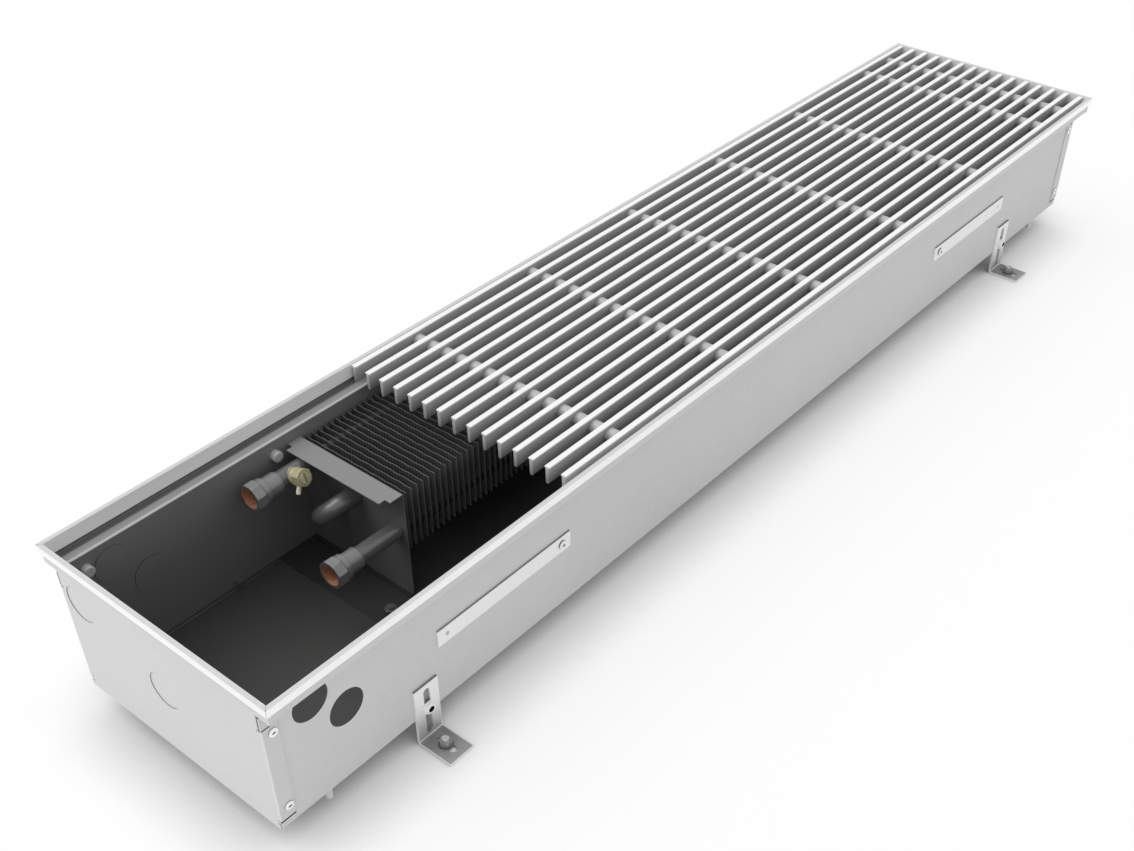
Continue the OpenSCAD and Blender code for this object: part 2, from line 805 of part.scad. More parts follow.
module floor_studs() {
    stud_h = sheet_t + floor_plate_t + nut_h + floor_stud_proud;
    color("silver") at_floor_studs(floor_gap) cylinder(d = bolt_d, h = stud_h);
}

module floor_nuts() {
    color("silver")
        at_floor_studs(floor_top_z + floor_plate_t)
            difference() {
                turned_hexagon(nut_af, nut_h);
                translate([0, 0, -cut]) cylinder(d = bolt_d, h = nut_h + 2 * cut);
            }
}

// Heat exchanger
module plate_profile() {
    upright_h = plate_top_z - plate_foot_z - 2 * plate_t - 2 * bend_r;
    translate([0, plate_foot_z + plate_t + bend_r]) square([plate_t, upright_h]);
    translate([-bend_r, plate_top_z - plate_t - bend_r]) sheet_bend(0, plate_t);
    translate([-plate_flange_l, plate_top_z - plate_t]) square([plate_flange_l - bend_r, plate_t]);
    translate([-bend_r, plate_foot_z + plate_t + bend_r]) sheet_bend(3, plate_t);
    translate([-plate_foot_l, plate_foot_z]) square([plate_foot_l - bend_r, plate_t]);
}

module exchanger_plate() {
    difference() {
        translate([0, plate_y + plate_w, 0])
            rotate([90, 0, 0]) linear_extrude(plate_w) plate_profile();
        // notches in the front corners of the top flange
        for (notch_y = [plate_y - cut, plate_y + plate_w - plate_notch_w])
            translate([-plate_flange_l - cut, notch_y, plate_top_z - plate_t - cut])
                cube([plate_notch_l + cut, plate_notch_w + cut, plate_t + 2 * cut]);
        for (place = tube_places)
            translate([-cut, place[0], place[1]])
                rotate([0, 90, 0]) cylinder(r = tube_r + tube_fit, h = plate_t + 2 * cut);
    }
}

module exchanger_plate_front() {
    color([0.55, 0.55, 0.55]) translate([plate_x, 0, 0]) exchanger_plate();
}

module exchanger_plate_rear() {
    color([0.55, 0.55, 0.55]) translate([rear_plate_x, 0, 0]) mirror([1, 0, 0]) exchanger_plate();
}

module fins() {
    color([0.14, 0.14, 0.14])
        for (i = [0 : fin_count - 1])
            translate([fin_first_x + i * fin_pitch, 0, 0])
                along_x(fin_t)
                    difference() {
                        translate([fin_y, fin_z]) square([fin_w, fin_h]);
                        for (place = tube_places)
                            translate([place[0], place[1]]) circle(r = tube_r + tube_fit);
                    }
}

// Two legs along X from their starts to turn_x, joined by a half ring that bulges towards +X.
// Both legs and the ring are drawn in one frame, tilted to the line between the two places.
module u_solid(radius, overrun, place_a, start_a, place_b, start_b, turn_x) {
    middle = (place_a + place_b) / 2;
    span = norm(place_b - place_a);
    tilt = atan2(place_b[1] - place_a[1], place_b[0] - place_a[0]);
    translate([turn_x, middle[0], middle[1]])
        rotate([tilt, 0, 0]) {
            rotate(-90) rotate_extrude(angle = 180) translate([span / 2, 0]) circle(r = radius);
            translate([0, -span / 2, 0])
                rotate([0, -90, 0]) cylinder(r = radius, h = turn_x - start_a + overrun);
            translate([0, span / 2, 0])
                rotate([0, -90, 0]) cylinder(r = radius, h = turn_x - start_b + overrun);
        }
}

module u_tube(place_a, start_a, place_b, start_b, turn_x) {
    difference() {
        u_solid(tube_r, 0, place_a, start_a, place_b, start_b, turn_x);
        u_solid(bore_r, cut, place_a, start_a, place_b, start_b, turn_x);
    }
}

module supply_hairpin() {
    color([0.28, 0.28, 0.29])
        difference() {
            u_tube(supply_at, tube_start_x, lower_pass_at, plate_x, hairpin_x);
            // hole for the vent's spigot
            on_vent() cylinder(d = vent_spigot_d, h = tube_r + cut);
        }
}

module return_hairpin() {
    color([0.28, 0.28, 0.29])
        u_tube(return_at, tube_start_x, upper_pass_at, plate_x, hairpin_x);
}

module return_bend() {
    color([0.32, 0.32, 0.33])
        mirror([1, 0, 0])
            u_tube(upper_pass_at, -plate_x, lower_pass_at, -plate_x, bend_run - plate_x);
}

module fitting() {
    mouth_h = (thread_outer_d - thread_core_d) / 2;
    difference() {
        union() {
            rotate(180 / 8) cylinder(d = fitting_af / cos(180 / 8), h = fitting_oct_l, $fn = 8);
            cylinder(d = fitting_collar_d, h = fitting_oct_l + fitting_collar_l);
            cylinder(d = fitting_sleeve_d, h = fitting_l);
        }
        translate([0, 0, -cut]) cylinder(d = thread_core_d, h = thread_l + cut);
        cylinder(d1 = thread_outer_d, d2 = thread_core_d, h = mouth_h);
        translate([0, 0, -cut]) cylinder(r = bore_r, h = fitting_l);
        translate([0, 0, thread_l + socket_stop]) cylinder(r = tube_r, h = fitting_l);
    }
}

module supply_fitting() {
    color([0.35, 0.35, 0.36])
        translate([fitting_x, supply_at[0], supply_at[1]]) rotate([0, 90, 0]) fitting();
}

module return_fitting() {
    color([0.35, 0.35, 0.36])
        translate([fitting_x, return_at[0], return_at[1]]) rotate([0, 90, 0]) fitting();
}

// Air vent, drawn along +Z from the supply tube's axis and tilted up from the near side
module on_vent() {
    translate([vent_x, supply_at[0], supply_at[1]])
        rotate([90 - vent_tilt, 0, 0]) children();
}

// Turns a piece built along +Z so that it points out of the hexagon's lower left flat
module out_of_nozzle_flat() {
    translate([0, 0, nozzle_out]) rotate([0, 0, -30]) rotate([90, 0, 0]) children();
}

module vent_body() {
    hex_at = tube_r + vent_base_l;
    stem_r = vent_stem_d / 2 + vent_play;
    color("darkkhaki")
        on_vent()
            difference() {
                union() {
                    translate([0, 0, bore_r]) cylinder(d = vent_spigot_d, h = tube_r);
                    difference() {
                        cylinder(d = vent_base_d, h = hex_at);
                        rotate([0, 90, 0]) cylinder(r = tube_r, h = 2 * vent_base_d, center = true);
                    }
                    translate([0, 0, hex_at]) rotate(30) turned_hexagon(vent_af, vent_hex_l);
                }
                translate([0, 0, vent_face - vent_stem_l]) cylinder(r = stem_r, h = vent_face);
                cylinder(r = stem_r / 2, h = vent_face);
                out_of_nozzle_flat()
                    translate([0, 0, vent_af / 2 - nozzle_seat]) cylinder(d = nozzle_d, h = nozzle_l);
            }
}

module vent_nozzle() {
    color("khaki")
        on_vent() out_of_nozzle_flat()
            translate([0, 0, vent_af / 2 - nozzle_seat])
                tube(nozzle_d, nozzle_bore_d, nozzle_l - vent_af / 2 + nozzle_seat);
}

module vent_screw() {
    color("darkkhaki")
        on_vent()
            difference() {
                union() {
                    translate([0, 0, vent_face + slide_gap]) cylinder(d = vent_screw_d, h = vent_screw_h);
                    translate([0, 0, vent_face - vent_stem_l + slide_gap])
                        cylinder(d = vent_stem_d, h = vent_stem_l + vent_screw_h);
                }
                translate([-vent_slot_w / 2, -vent_screw_d, vent_face + slide_gap + vent_screw_h / 3])
                    cube([vent_slot_w, 2 * vent_screw_d, vent_screw_h + cut]);
            }
}

// Grille
module bar_profile() {
    groove_z = -bar_head_h - bar_groove_h;
    translate([0, top_z])
        polygon([
            [-bar_head_w / 2, 0], [-bar_head_w / 2, -bar_head_h],
            [-bar_neck_w / 2, -bar_head_h], [-bar_neck_w / 2, groove_z],
            [-bar_web_w / 2, groove_z], [-bar_foot_w / 2, -bar_h],
            [bar_foot_w / 2, -bar_h], [bar_web_w / 2, groove_z],
            [bar_neck_w / 2, groove_z], [bar_neck_w / 2, -bar_head_h],
            [bar_head_w / 2, -bar_head_h], [bar_head_w / 2, 0]]);
}

module grille_bars() {
    color("white")
        difference() {
            for (i = [0 : bar_count - 1])
                translate([grille_x, bar_first_y + i * bar_pitch, 0]) along_x(bar_l) bar_profile();
            for (x = rod_xs)
                translate([x, -half_w, rod_z])
                    facing_far() cylinder(d = rod_d + 2 * rod_fit, h = trench_w);
        }
}

module grille_spacers() {
    spacer_l = bar_pitch - bar_web_w - 2 * spacer_gap;
    color("gainsboro")
        for (x = rod_xs, i = [0 : bar_count - 2])
            translate([x, bar_first_y + i * bar_pitch + bar_web_w / 2 + spacer_gap, rod_z])
                facing_far() tube(spacer_d, rod_d + 2 * rod_fit, spacer_l);
}

module grille_rods() {
    rod_l = (bar_count - 1) * bar_pitch + bar_head_w;
    color("silver")
        for (x = rod_xs)
            translate([x, bar_first_y - bar_head_w / 2, rod_z])
                facing_far() cylinder(d = rod_d, h = rod_l);
}

// Brackets, drawn at the right end on the far side, and mirrored into the other corners
module bracket_side() {
    translate([slide_gap, bracket_t + bend_r])
        square([bracket_t, bracket_h - bracket_t - bend_r]);
    translate([slide_gap + bracket_t + bend_r, bracket_t + bend_r]) sheet_bend(2, bracket_t);
    translate([slide_gap + bracket_t + bend_r, 0])
        square([bracket_reach - slide_gap - bracket_t - bend_r, bracket_t]);
}

module bracket(end, side) {
    slot_l = slot_high - slot_low;
    foot_slot_l = foot_slot_out - foot_slot_in;
    color("silver")
        at_corner(end, side)
            translate([bracket_x, wall_out, 0])
                difference() {
                    translate([-bracket_w / 2, 0, 0]) along_x(bracket_w) bracket_side();
                    translate([0, -cut, slot_low + slot_l / 2])
                        facing_far() rotate(90) slot_hole(slot_w, slot_l, bracket_t + 2 * cut);
                    translate([0, foot_slot_in + foot_slot_l / 2, -cut])
                        rotate(90) slot_hole(slot_w, foot_slot_l, bracket_t + 2 * cut);
                }
}

module anchor_stud(end, side) {
    stud_h = bracket_t + washer_t + nut_h + anchor_proud;
    color("silver")
        at_corner(end, side)
            translate([bracket_x, wall_out + anchor_out, 0]) cylinder(d = bolt_d, h = stud_h);
}

module anchor_nut(end, side) {
    color("silver")
        at_corner(end, side)
            translate([bracket_x, wall_out + anchor_out, bracket_t + washer_t])
                difference() {
                    turned_hexagon(nut_af, nut_h);
                    translate([0, 0, -cut]) cylinder(d = bolt_d, h = nut_h + 2 * cut);
                }
}

module anchor_washer(end, side) {
    color("silver")
        at_corner(end, side)
            translate([bracket_x, wall_out + anchor_out, bracket_t])
                tube(washer_d, bolt_d + 2 * hole_fit, washer_t);
}

module strap(end, side) {
    color("white")
        at_corner(end, side)
            translate([strap_x, wall_out + slide_gap, strap_z])
                difference() {
                    translate([-strap_l / 2, 0, -strap_w / 2]) cube([strap_l, strap_t, strap_w]);
                    for (hole_side = [-1, 1])
                        translate([hole_side * (strap_l / 2 - strap_hole_in), -cut, 0])
                            facing_far() cylinder(d = strap_hole_d, h = strap_t + 2 * cut);
                }
}

module leveller(end, side) {
    color("lightgray")
        at_corner(end, side)
            translate([leveller_x, leveller_y, leveller_z])
                difference() {
                    cylinder(d = leveller_d, h = leveller_top_z - leveller_z);
                    translate([-leveller_d, -driver_slot_w / 2,
                        leveller_top_z - leveller_z - driver_slot_h])
                        cube([2 * leveller_d, driver_slot_w, driver_slot_h + cut]);
                }
}

trough_shell();
end_panel_left();
end_panel_right();
frame_near();
frame_far();
frame_left();
frame_right();
corner_rivets();
wall_studs();
bracket_bolts();
bracket_washers();
bracket_nuts();
strap_screws();
levelling_nuts();
floor_plates();
floor_studs();
floor_nuts();
exchanger_plate_front();
exchanger_plate_rear();
fins();
supply_hairpin();
return_hairpin();
return_bend();
supply_fitting();
return_fitting();
vent_body();
vent_nozzle();
vent_screw();
grille_bars();
grille_spacers();
grille_rods();
bracket(-1, -1);  // bracket_near_left
bracket(1, -1);  // bracket_near_right
bracket(-1, 1);  // bracket_far_left
bracket(1, 1);  // bracket_far_right
anchor_stud(-1, -1);  // anchor_stud_near_left
anchor_stud(1, -1);  // anchor_stud_near_right
anchor_stud(-1, 1);  // anchor_stud_far_left
anchor_stud(1, 1);  // anchor_stud_far_right
anchor_nut(-1, -1);  // anchor_nut_near_left
anchor_nut(1, -1);  // anchor_nut_near_right
anchor_nut(-1, 1);  // anchor_nut_far_left
anchor_nut(1, 1);  // anchor_nut_far_right
anchor_washer(-1, -1);  // anchor_washer_near_left
anchor_washer(1, -1);  // anchor_washer_near_right
anchor_washer(-1, 1);  // anchor_washer_far_left
anchor_washer(1, 1);  // anchor_washer_far_right
strap(-1, -1);  // strap_near_left
strap(1, -1);  // strap_near_right
strap(-1, 1);  // strap_far_left
strap(1, 1);  // strap_far_right
leveller(-1, -1);  // leveller_near_left
leveller(1, -1);  // leveller_near_right
leveller(-1, 1);  // leveller_far_left
leveller(1, 1);  // leveller_far_right
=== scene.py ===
import bpy
import bmesh
import math
from mathutils import Matrix, Vector


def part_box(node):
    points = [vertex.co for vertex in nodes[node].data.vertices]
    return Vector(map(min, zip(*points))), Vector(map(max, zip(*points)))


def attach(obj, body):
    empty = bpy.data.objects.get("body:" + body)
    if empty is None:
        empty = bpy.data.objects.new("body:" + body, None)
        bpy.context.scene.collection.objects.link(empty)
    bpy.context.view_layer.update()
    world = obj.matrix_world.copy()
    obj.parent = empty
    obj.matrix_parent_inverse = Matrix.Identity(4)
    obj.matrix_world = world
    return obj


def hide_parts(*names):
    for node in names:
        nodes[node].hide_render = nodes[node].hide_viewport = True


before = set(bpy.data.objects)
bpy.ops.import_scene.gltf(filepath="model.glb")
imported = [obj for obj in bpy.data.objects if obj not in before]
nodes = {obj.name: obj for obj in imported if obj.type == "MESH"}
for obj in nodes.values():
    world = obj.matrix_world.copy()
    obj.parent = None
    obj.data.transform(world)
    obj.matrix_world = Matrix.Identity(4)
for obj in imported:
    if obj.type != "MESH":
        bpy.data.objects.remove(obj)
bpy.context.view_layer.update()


def new_finish(name, roughness, metallic=0.0):
    material = bpy.data.materials.new(name)
    material.use_nodes = True
    shader = material.node_tree.nodes["Principled BSDF"]
    shader.inputs["Roughness"].default_value = roughness
    shader.inputs["Metallic"].default_value = metallic
    return material, material.node_tree, shader


def shade_node(tree, kind, inputs=(), **settings):
    node = tree.nodes.new(kind)
    for key, value in settings.items():
        setattr(node, key, value)
    for socket, value in dict(inputs).items():
        if isinstance(value, bpy.types.NodeSocket):
            tree.links.new(value, node.inputs[socket])
        else:
            node.inputs[socket].default_value = value
    return node


def calc(tree, operation, first, second=0.0):
    return shade_node(tree, "ShaderNodeMath", {0: first, 1: second}, operation=operation).outputs[0]


def blend_colours(tree, factor, first, second):
    mix = shade_node(tree, "ShaderNodeMix", data_type="RGBA")
    for index, value in ((0, factor), (6, first), (7, second)):
        if isinstance(value, bpy.types.NodeSocket):
            tree.links.new(value, mix.inputs[index])
        else:
            mix.inputs[index].default_value = value
    return mix.outputs[2]


def fade(tree, value, start, end, low=0.0, high=1.0):
    return shade_node(tree, "ShaderNodeMapRange", {
        "Value": value, "From Min": start, "From Max": end, "To Min": low, "To Max": high}).outputs[0]


def grey(level, warm=0.0):
    linear = ((level / 255 + 0.055) / 1.055) ** 2.4
    return (linear * (1 + warm), linear, linear * (1 - warm), 1.0)


def new_group(name, numbers, outputs):
    group = bpy.data.node_groups.new(name, "ShaderNodeTree")
    for label, value in numbers:
        socket = group.interface.new_socket(label, in_out="INPUT", socket_type="NodeSocketFloat")
        socket.default_value = value
    for label in outputs:
        group.interface.new_socket(label, in_out="OUTPUT", socket_type="NodeSocketFloat")
    return group, group.nodes.new("NodeGroupInput"), group.nodes.new("NodeGroupOutput")


def use_group(tree, group, **values):
    node = shade_node(tree, "ShaderNodeGroup", node_tree=group)
    for label, value in values.items():
        node.inputs[label.replace("_", " ")].default_value = value
    return node


# Grain of rolled sheet: wide soft clouds, fine lines along the rolling direction, and specks
rolled, rolled_in, rolled_out = new_group(
    "rolled grain", [("Length stretch", 0.1), ("Line scale", 900.0), ("Cloud scale", 9.0)],
    ["Clouds", "Lines", "Specks"])
place = shade_node(rolled, "ShaderNodeTexCoord").outputs["Object"]
stretch = shade_node(rolled, "ShaderNodeCombineXYZ",
                     {"X": rolled_in.outputs["Length stretch"], "Y": 1.0, "Z": 1.0}).outputs[0]
drawn = shade_node(rolled, "ShaderNodeVectorMath", {0: place, 1: stretch}, operation="MULTIPLY").outputs[0]
clouds = shade_node(rolled, "ShaderNodeTexNoise",
                    {"Vector": place, "Scale": rolled_in.outputs["Cloud scale"], "Detail": 4.0})
lines = shade_node(rolled, "ShaderNodeTexNoise",
                   {"Vector": drawn, "Scale": rolled_in.outputs["Line scale"], "Detail": 2.0})
specks = shade_node(rolled, "ShaderNodeTexNoise", {"Vector": place, "Scale": 1600.0, "Detail": 1.0})
rolled.links.new(clouds.outputs["Fac"], rolled_out.inputs["Clouds"])
rolled.links.new(lines.outputs["Fac"], rolled_out.inputs["Lines"])
rolled.links.new(specks.outputs["Fac"], rolled_out.inputs["Specks"])

# Worn and lit edges: 1 on a sharp outer edge, 0 on the flats, broken up by specks; the lighter edge colour
# it brings in is wear and a painted highlight in one
worn_and_lit, worn_and_lit_in, worn_and_lit_out = new_group("worn edges", [("Width", 0.0006), ("Break up", 0.5)], ["Mask"])
rounded = shade_node(worn_and_lit, "ShaderNodeBevel", {"Radius": worn_and_lit_in.outputs["Width"]}, samples=4)
true_normal = shade_node(worn_and_lit, "ShaderNodeNewGeometry")
parting = shade_node(worn_and_lit, "ShaderNodeVectorMath",
                     {0: rounded.outputs[0], 1: true_normal.outputs["Normal"]}, operation="DOT_PRODUCT")
edge = calc(worn_and_lit, "MULTIPLY", calc(worn_and_lit, "SUBTRACT", 1.0, parting.outputs["Value"]), 4.0)
patches = shade_node(worn_and_lit, "ShaderNodeTexNoise",
                     {"Vector": shade_node(worn_and_lit, "ShaderNodeTexCoord").outputs["Object"],
                      "Scale": 320.0, "Detail": 3.0})
kept = calc(worn_and_lit, "SUBTRACT", 1.0, calc(worn_and_lit, "MULTIPLY", patches.outputs["Fac"],
                                        worn_and_lit_in.outputs["Break up"]))
mask = shade_node(worn_and_lit, "ShaderNodeClamp", {"Value": calc(worn_and_lit, "MULTIPLY", edge, kept)})
worn_and_lit.links.new(mask.outputs[0], worn_and_lit_out.inputs["Mask"])


def position(tree):
    row = shade_node(tree, "ShaderNodeSeparateXYZ",
                     {0: shade_node(tree, "ShaderNodeTexCoord").outputs["Object"]}).outputs
    return row["X"], row["Y"], row["Z"]


def grained(tree, dark, light, stretch=0.1, line_scale=900.0, cloud_scale=9.0):
    grain = use_group(tree, rolled, Length_stretch=stretch, Line_scale=line_scale,
                      Cloud_scale=cloud_scale).outputs
    tone = calc(tree, "ADD", calc(tree, "MULTIPLY", grain["Clouds"], 0.6),
                calc(tree, "MULTIPLY", grain["Lines"], 0.4))
    return blend_colours(tree, tone, dark, light), grain


def surface(tree, shader, colour, grain, roughness, spread=0.12, line_depth=0.00001):
    tree.links.new(colour, shader.inputs["Base Color"])
    tree.links.new(fade(tree, grain["Lines"], 0.3, 0.7, roughness - spread / 2, roughness + spread / 2),
                   shader.inputs["Roughness"])
    height = calc(tree, "ADD", grain["Lines"], calc(tree, "MULTIPLY", grain["Specks"], 0.5))
    bump = shade_node(tree, "ShaderNodeBump", {"Strength": 0.6, "Distance": line_depth, "Height": height})
    tree.links.new(bump.outputs[0], shader.inputs["Normal"])


# lightens sharp edges: wear and a painted edge highlight
def worn_and_lit_edges(tree, colour, worn_and_lit_edge_colour, width, break_up=0.4):
    edges = use_group(tree, worn_and_lit, Width=width, Break_up=break_up)
    return blend_colours(tree, edges.outputs["Mask"], colour, worn_and_lit_edge_colour)


def finish_with_grain(name, dark, light, roughness, metallic=0.0, worn_and_lit_edge_colour=None, edge_width=0.0006,
                      line_depth=0.00001, **grain_values):
    material, tree, shader = new_finish(name, roughness, metallic)
    colour, grain = grained(tree, dark, light, **grain_values)
    if worn_and_lit_edge_colour:
        colour = worn_and_lit_edges(tree, colour, worn_and_lit_edge_colour, edge_width)
    surface(tree, shader, colour, grain, roughness, line_depth=line_depth)
    return material


def give_finish(material, *names):
    for name in names:
        for slot in nodes[name].material_slots:
            slot.material = material


def above(tree, value, level):
    return calc(tree, "GREATER_THAN", value, level)


def below(tree, value, level):
    return calc(tree, "LESS_THAN", value, level)


def both(tree, first, *others):
    for other in others:
        first = calc(tree, "MULTIPLY", first, other)
    return first


def either(tree, first, *others):
    for other in others:
        first = calc(tree, "MAXIMUM", first, other)
    return first


def between(tree, value, low, high):
    return both(tree, above(tree, value, low), below(tree, value, high))


# the coat ends in the middle of each sheet, and the levels are those of the ledge and the bends
wall_middle, panel_middle, band_middle, floor_middle = 0.1132, 0.6221, 0.1274, 0.0255
bend_line, ledge_third, ledge_under, floor_coat_top = 0.1143, 0.1212, 0.1472, 0.0285
corner_from, corner_bend_y, corner_bend_top = 0.6218, (0.1139, 0.1152), 0.1315
flange_end, seam_half_w = 0.6081, 0.0003
# slits round the tabs at the corners of the end panels and their flanges
panel_outside, flange_outside = 0.62275, 0.11485
upright_slit_y, upright_slit_z, low_slit_top = (0.1129, 0.1142), (0.1314, 0.1478), 0.0315
branch_y, branch_z, low_branch_z = (0.1106, 0.1142), (0.1315, 0.1325), (0.0304, 0.0314)
under_tab_from, under_tab_z = 0.6143, (0.1313, 0.1327)
beside_tab_x, beside_tab_z = (0.6105, 0.6117), (0.1335, 0.1455)
under_flange_x, under_flange_y, under_flange_z = (0.6085, 0.6222), (0.11308, 0.11403), (0.032, 0.1475)
# thin gaps round the discs of the pipe entries that are still closed
panel_gap_x, panel_gap_y = (0.62235, 0.62283), 0.1125
wall_gap_y, wall_gap_z = (0.11245, 0.11294), (0.06, 0.15)
behind_slot_x, behind_slot_y, behind_slot_top = (0.4705, 0.4795), 0.1139, 0.052

trough_finish, tree, shader = new_finish("zinc outside, dark coat inside", 0.4)
x, y, z = position(tree)
out_x, out_y = calc(tree, "ABSOLUTE", x), calc(tree, "ABSOLUTE", y)
zinc, grain = grained(tree, grey(203, 0.004), grey(219, 0.004), stretch=0.25, line_scale=420.0,
                      cloud_scale=6.0)
spangle = shade_node(tree, "ShaderNodeTexVoronoi",
                     {"Vector": shade_node(tree, "ShaderNodeTexCoord").outputs["Object"],
                      "Scale": 160.0, "Randomness": 1.0})
zinc = blend_colours(tree, calc(tree, "MULTIPLY", spangle.outputs["Color"], 0.25), zinc,
                     grey(222, 0.004))
# painted shade: a faint dark line on the wall where each end panel's flange ends
from_flange_end = calc(tree, "ABSOLUTE", calc(tree, "SUBTRACT", out_x, flange_end))
flange_seam_shade = below(tree, from_flange_end, seam_half_w)
zinc = blend_colours(tree, calc(tree, "MULTIPLY", flange_seam_shade, 0.25), zinc, grey(130))
# painted highlight along the bend at each upright corner
corner_bend_highlight = both(tree, above(tree, out_x, corner_from), between(tree, out_y, *corner_bend_y),
                   below(tree, z, corner_bend_top))
zinc = blend_colours(tree, calc(tree, "MULTIPLY", corner_bend_highlight, 0.5), zinc, grey(246))
# painted shade: the slits, the gap round each disc and the wall behind the brackets' slots are painted dark
# as if in shadow
upright_slit = both(tree, between(tree, out_y, *upright_slit_y), either(
    tree, between(tree, z, *upright_slit_z), below(tree, z, low_slit_top)))
short_branch = both(tree, between(tree, out_y, *branch_y), either(
    tree, between(tree, z, *branch_z), between(tree, z, *low_branch_z)))
under_tab = both(tree, above(tree, out_x, under_tab_from), between(tree, z, *under_tab_z))
beside_tab = both(tree, between(tree, out_x, *beside_tab_x), between(tree, z, *beside_tab_z))
panel_slit_shade = both(tree, above(tree, out_x, panel_outside), either(tree, upright_slit, short_branch))
flange_slit_shade = both(tree, above(tree, out_y, flange_outside), either(tree, under_tab, beside_tab))
zinc = blend_colours(tree, either(tree, panel_slit_shade, flange_slit_shade), zinc, grey(22))
# painted shade on the wall behind each bracket's slot
shade_behind_slot = both(tree, between(tree, out_x, *behind_slot_x), above(tree, out_y, behind_slot_y),
                   below(tree, z, behind_slot_top))
zinc = blend_colours(tree, calc(tree, "MULTIPLY", shade_behind_slot, 0.6), zinc, grey(90))
# painted shade on the step round each closed disc of the end panels
panel_gap_shade = both(tree, between(tree, out_x, *panel_gap_x), below(tree, out_y, panel_gap_y))
zinc = blend_colours(tree, panel_gap_shade, zinc, grey(96))
# the coat inside is one dark paint, with painted light and shade on floor, walls and ledges
coat_tone = calc(tree, "ADD", calc(tree, "MULTIPLY", grain["Clouds"], 0.6),
                 calc(tree, "MULTIPLY", grain["Specks"], 0.4))
floor_coat_and_light = blend_colours(tree, coat_tone, grey(54, 0.03), grey(64, 0.03))
# painted light: the floor lighter towards the far wall
floor_coat_and_light = blend_colours(tree, fade(tree, y, 0.0, 0.09, 0.0, 0.6), floor_coat_and_light, grey(78, 0.03))
# painted sheen: the walls lighter than the floor, and lighter still towards the top
wall_coat_and_sheen = blend_colours(tree, coat_tone, grey(102, -0.01), grey(122, -0.01))
wall_coat_and_sheen = blend_colours(tree, fade(tree, z, 0.09, 0.14, 0.0, 0.5), wall_coat_and_sheen, grey(136, -0.01))
# the ledge is lighter, with painted shade on its outer third and a painted highlight on its bend line
ledge_light_and_shade = blend_colours(tree, above(tree, out_y, ledge_third), grey(156), grey(104))
ledge_light_and_shade = blend_colours(tree, below(tree, out_y, bend_line), ledge_light_and_shade, grey(212))
coat = blend_colours(tree, above(tree, z, floor_coat_top), floor_coat_and_light, wall_coat_and_sheen)
coat = blend_colours(tree, above(tree, z, ledge_under), coat, ledge_light_and_shade)
# painted shade in the thin gaps round the closed discs of the walls
wall_gap_shade = both(tree, between(tree, out_y, *wall_gap_y), between(tree, z, *wall_gap_z))
coat = blend_colours(tree, wall_gap_shade, coat, grey(12))
over_ledge = both(tree, above(tree, z, ledge_under), below(tree, out_y, band_middle))
inside = both(tree, either(tree, below(tree, out_y, wall_middle), over_ledge),
              below(tree, out_x, panel_middle), above(tree, z, floor_middle))
colour = blend_colours(tree, inside, zinc, coat)
# painted shade on the wall's outside under the end panels' flanges
shade_under_flange = both(tree, between(tree, z, *under_flange_z), between(tree, out_x, *under_flange_x),
                    between(tree, out_y, *under_flange_y))
colour = blend_colours(tree, shade_under_flange, colour, grey(24))
tree.links.new(colour, shader.inputs["Base Color"])
coat_roughness = both(tree, inside, fade(tree, grain["Specks"], 0, 1, 0.34, 0.5))
zinc_roughness = both(tree, calc(tree, "SUBTRACT", 1.0, inside),
                      fade(tree, grain["Lines"], 0, 1, 0.38, 0.62))
tree.links.new(calc(tree, "ADD", coat_roughness, zinc_roughness), shader.inputs["Roughness"])
tree.links.new(shade_node(tree, "ShaderNodeBump", {
    "Strength": 0.4, "Distance": 0.00003, "Height": grain["Specks"]}).outputs[0],
    shader.inputs["Normal"])
give_finish(trough_finish, "trough_shell", "end_panel_left", "end_panel_right")

# ---- Edge frame ----
# Four mitred aluminium profiles, anodised matt silver, clipped over the rim of the trough. The
# lip outside covers the cut edge of the floor, and the leg inside holds the grille's bars.
frame_finish, tree, shader = new_finish("anodised edge frame", 0.42)
x, y, z = position(tree)
colour, grain = grained(tree, grey(250), grey(254), stretch=0.05, line_scale=1500.0, cloud_scale=14.0)
half_l, half_w, mitre_half_w = 0.625, 0.130, 0.00016
top_from, outside_x, outside_y = 0.16485, 0.6245, 0.1295
out_x, out_y = calc(tree, "ABSOLUTE", x), calc(tree, "ABSOLUTE", y)
# painted shade: the top face is painted darker than the bright outer faces
top_face = above(tree, z, top_from)
colour = blend_colours(tree, calc(tree, "MULTIPLY", top_face, 0.9), colour, grey(204))
from_mitre = calc(tree, "ABSOLUTE", calc(tree, "SUBTRACT", calc(tree, "SUBTRACT", half_l, out_x),
                                         calc(tree, "SUBTRACT", half_w, out_y)))
colour = blend_colours(tree, below(tree, from_mitre, mitre_half_w), colour, grey(84))
surface(tree, shader, colour, grain, 0.34)
bright_face = either(tree, above(tree, out_x, outside_x), above(tree, out_y, outside_y), top_face)
tree.links.new(calc(tree, "MULTIPLY", bright_face, 0.85), shader.inputs["Metallic"])
give_finish(frame_finish, "frame_near", "frame_far", "frame_left", "frame_right")

# ---- Rivets ----
# Blind rivets of aluminium hold the panels' flanges to the long walls. The flat head has a small
# oval recess where the mandrel broke off.
rivet_low, rivet_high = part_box("corner_rivets")
rivet_r, rivet_h = 0.004, 0.0013


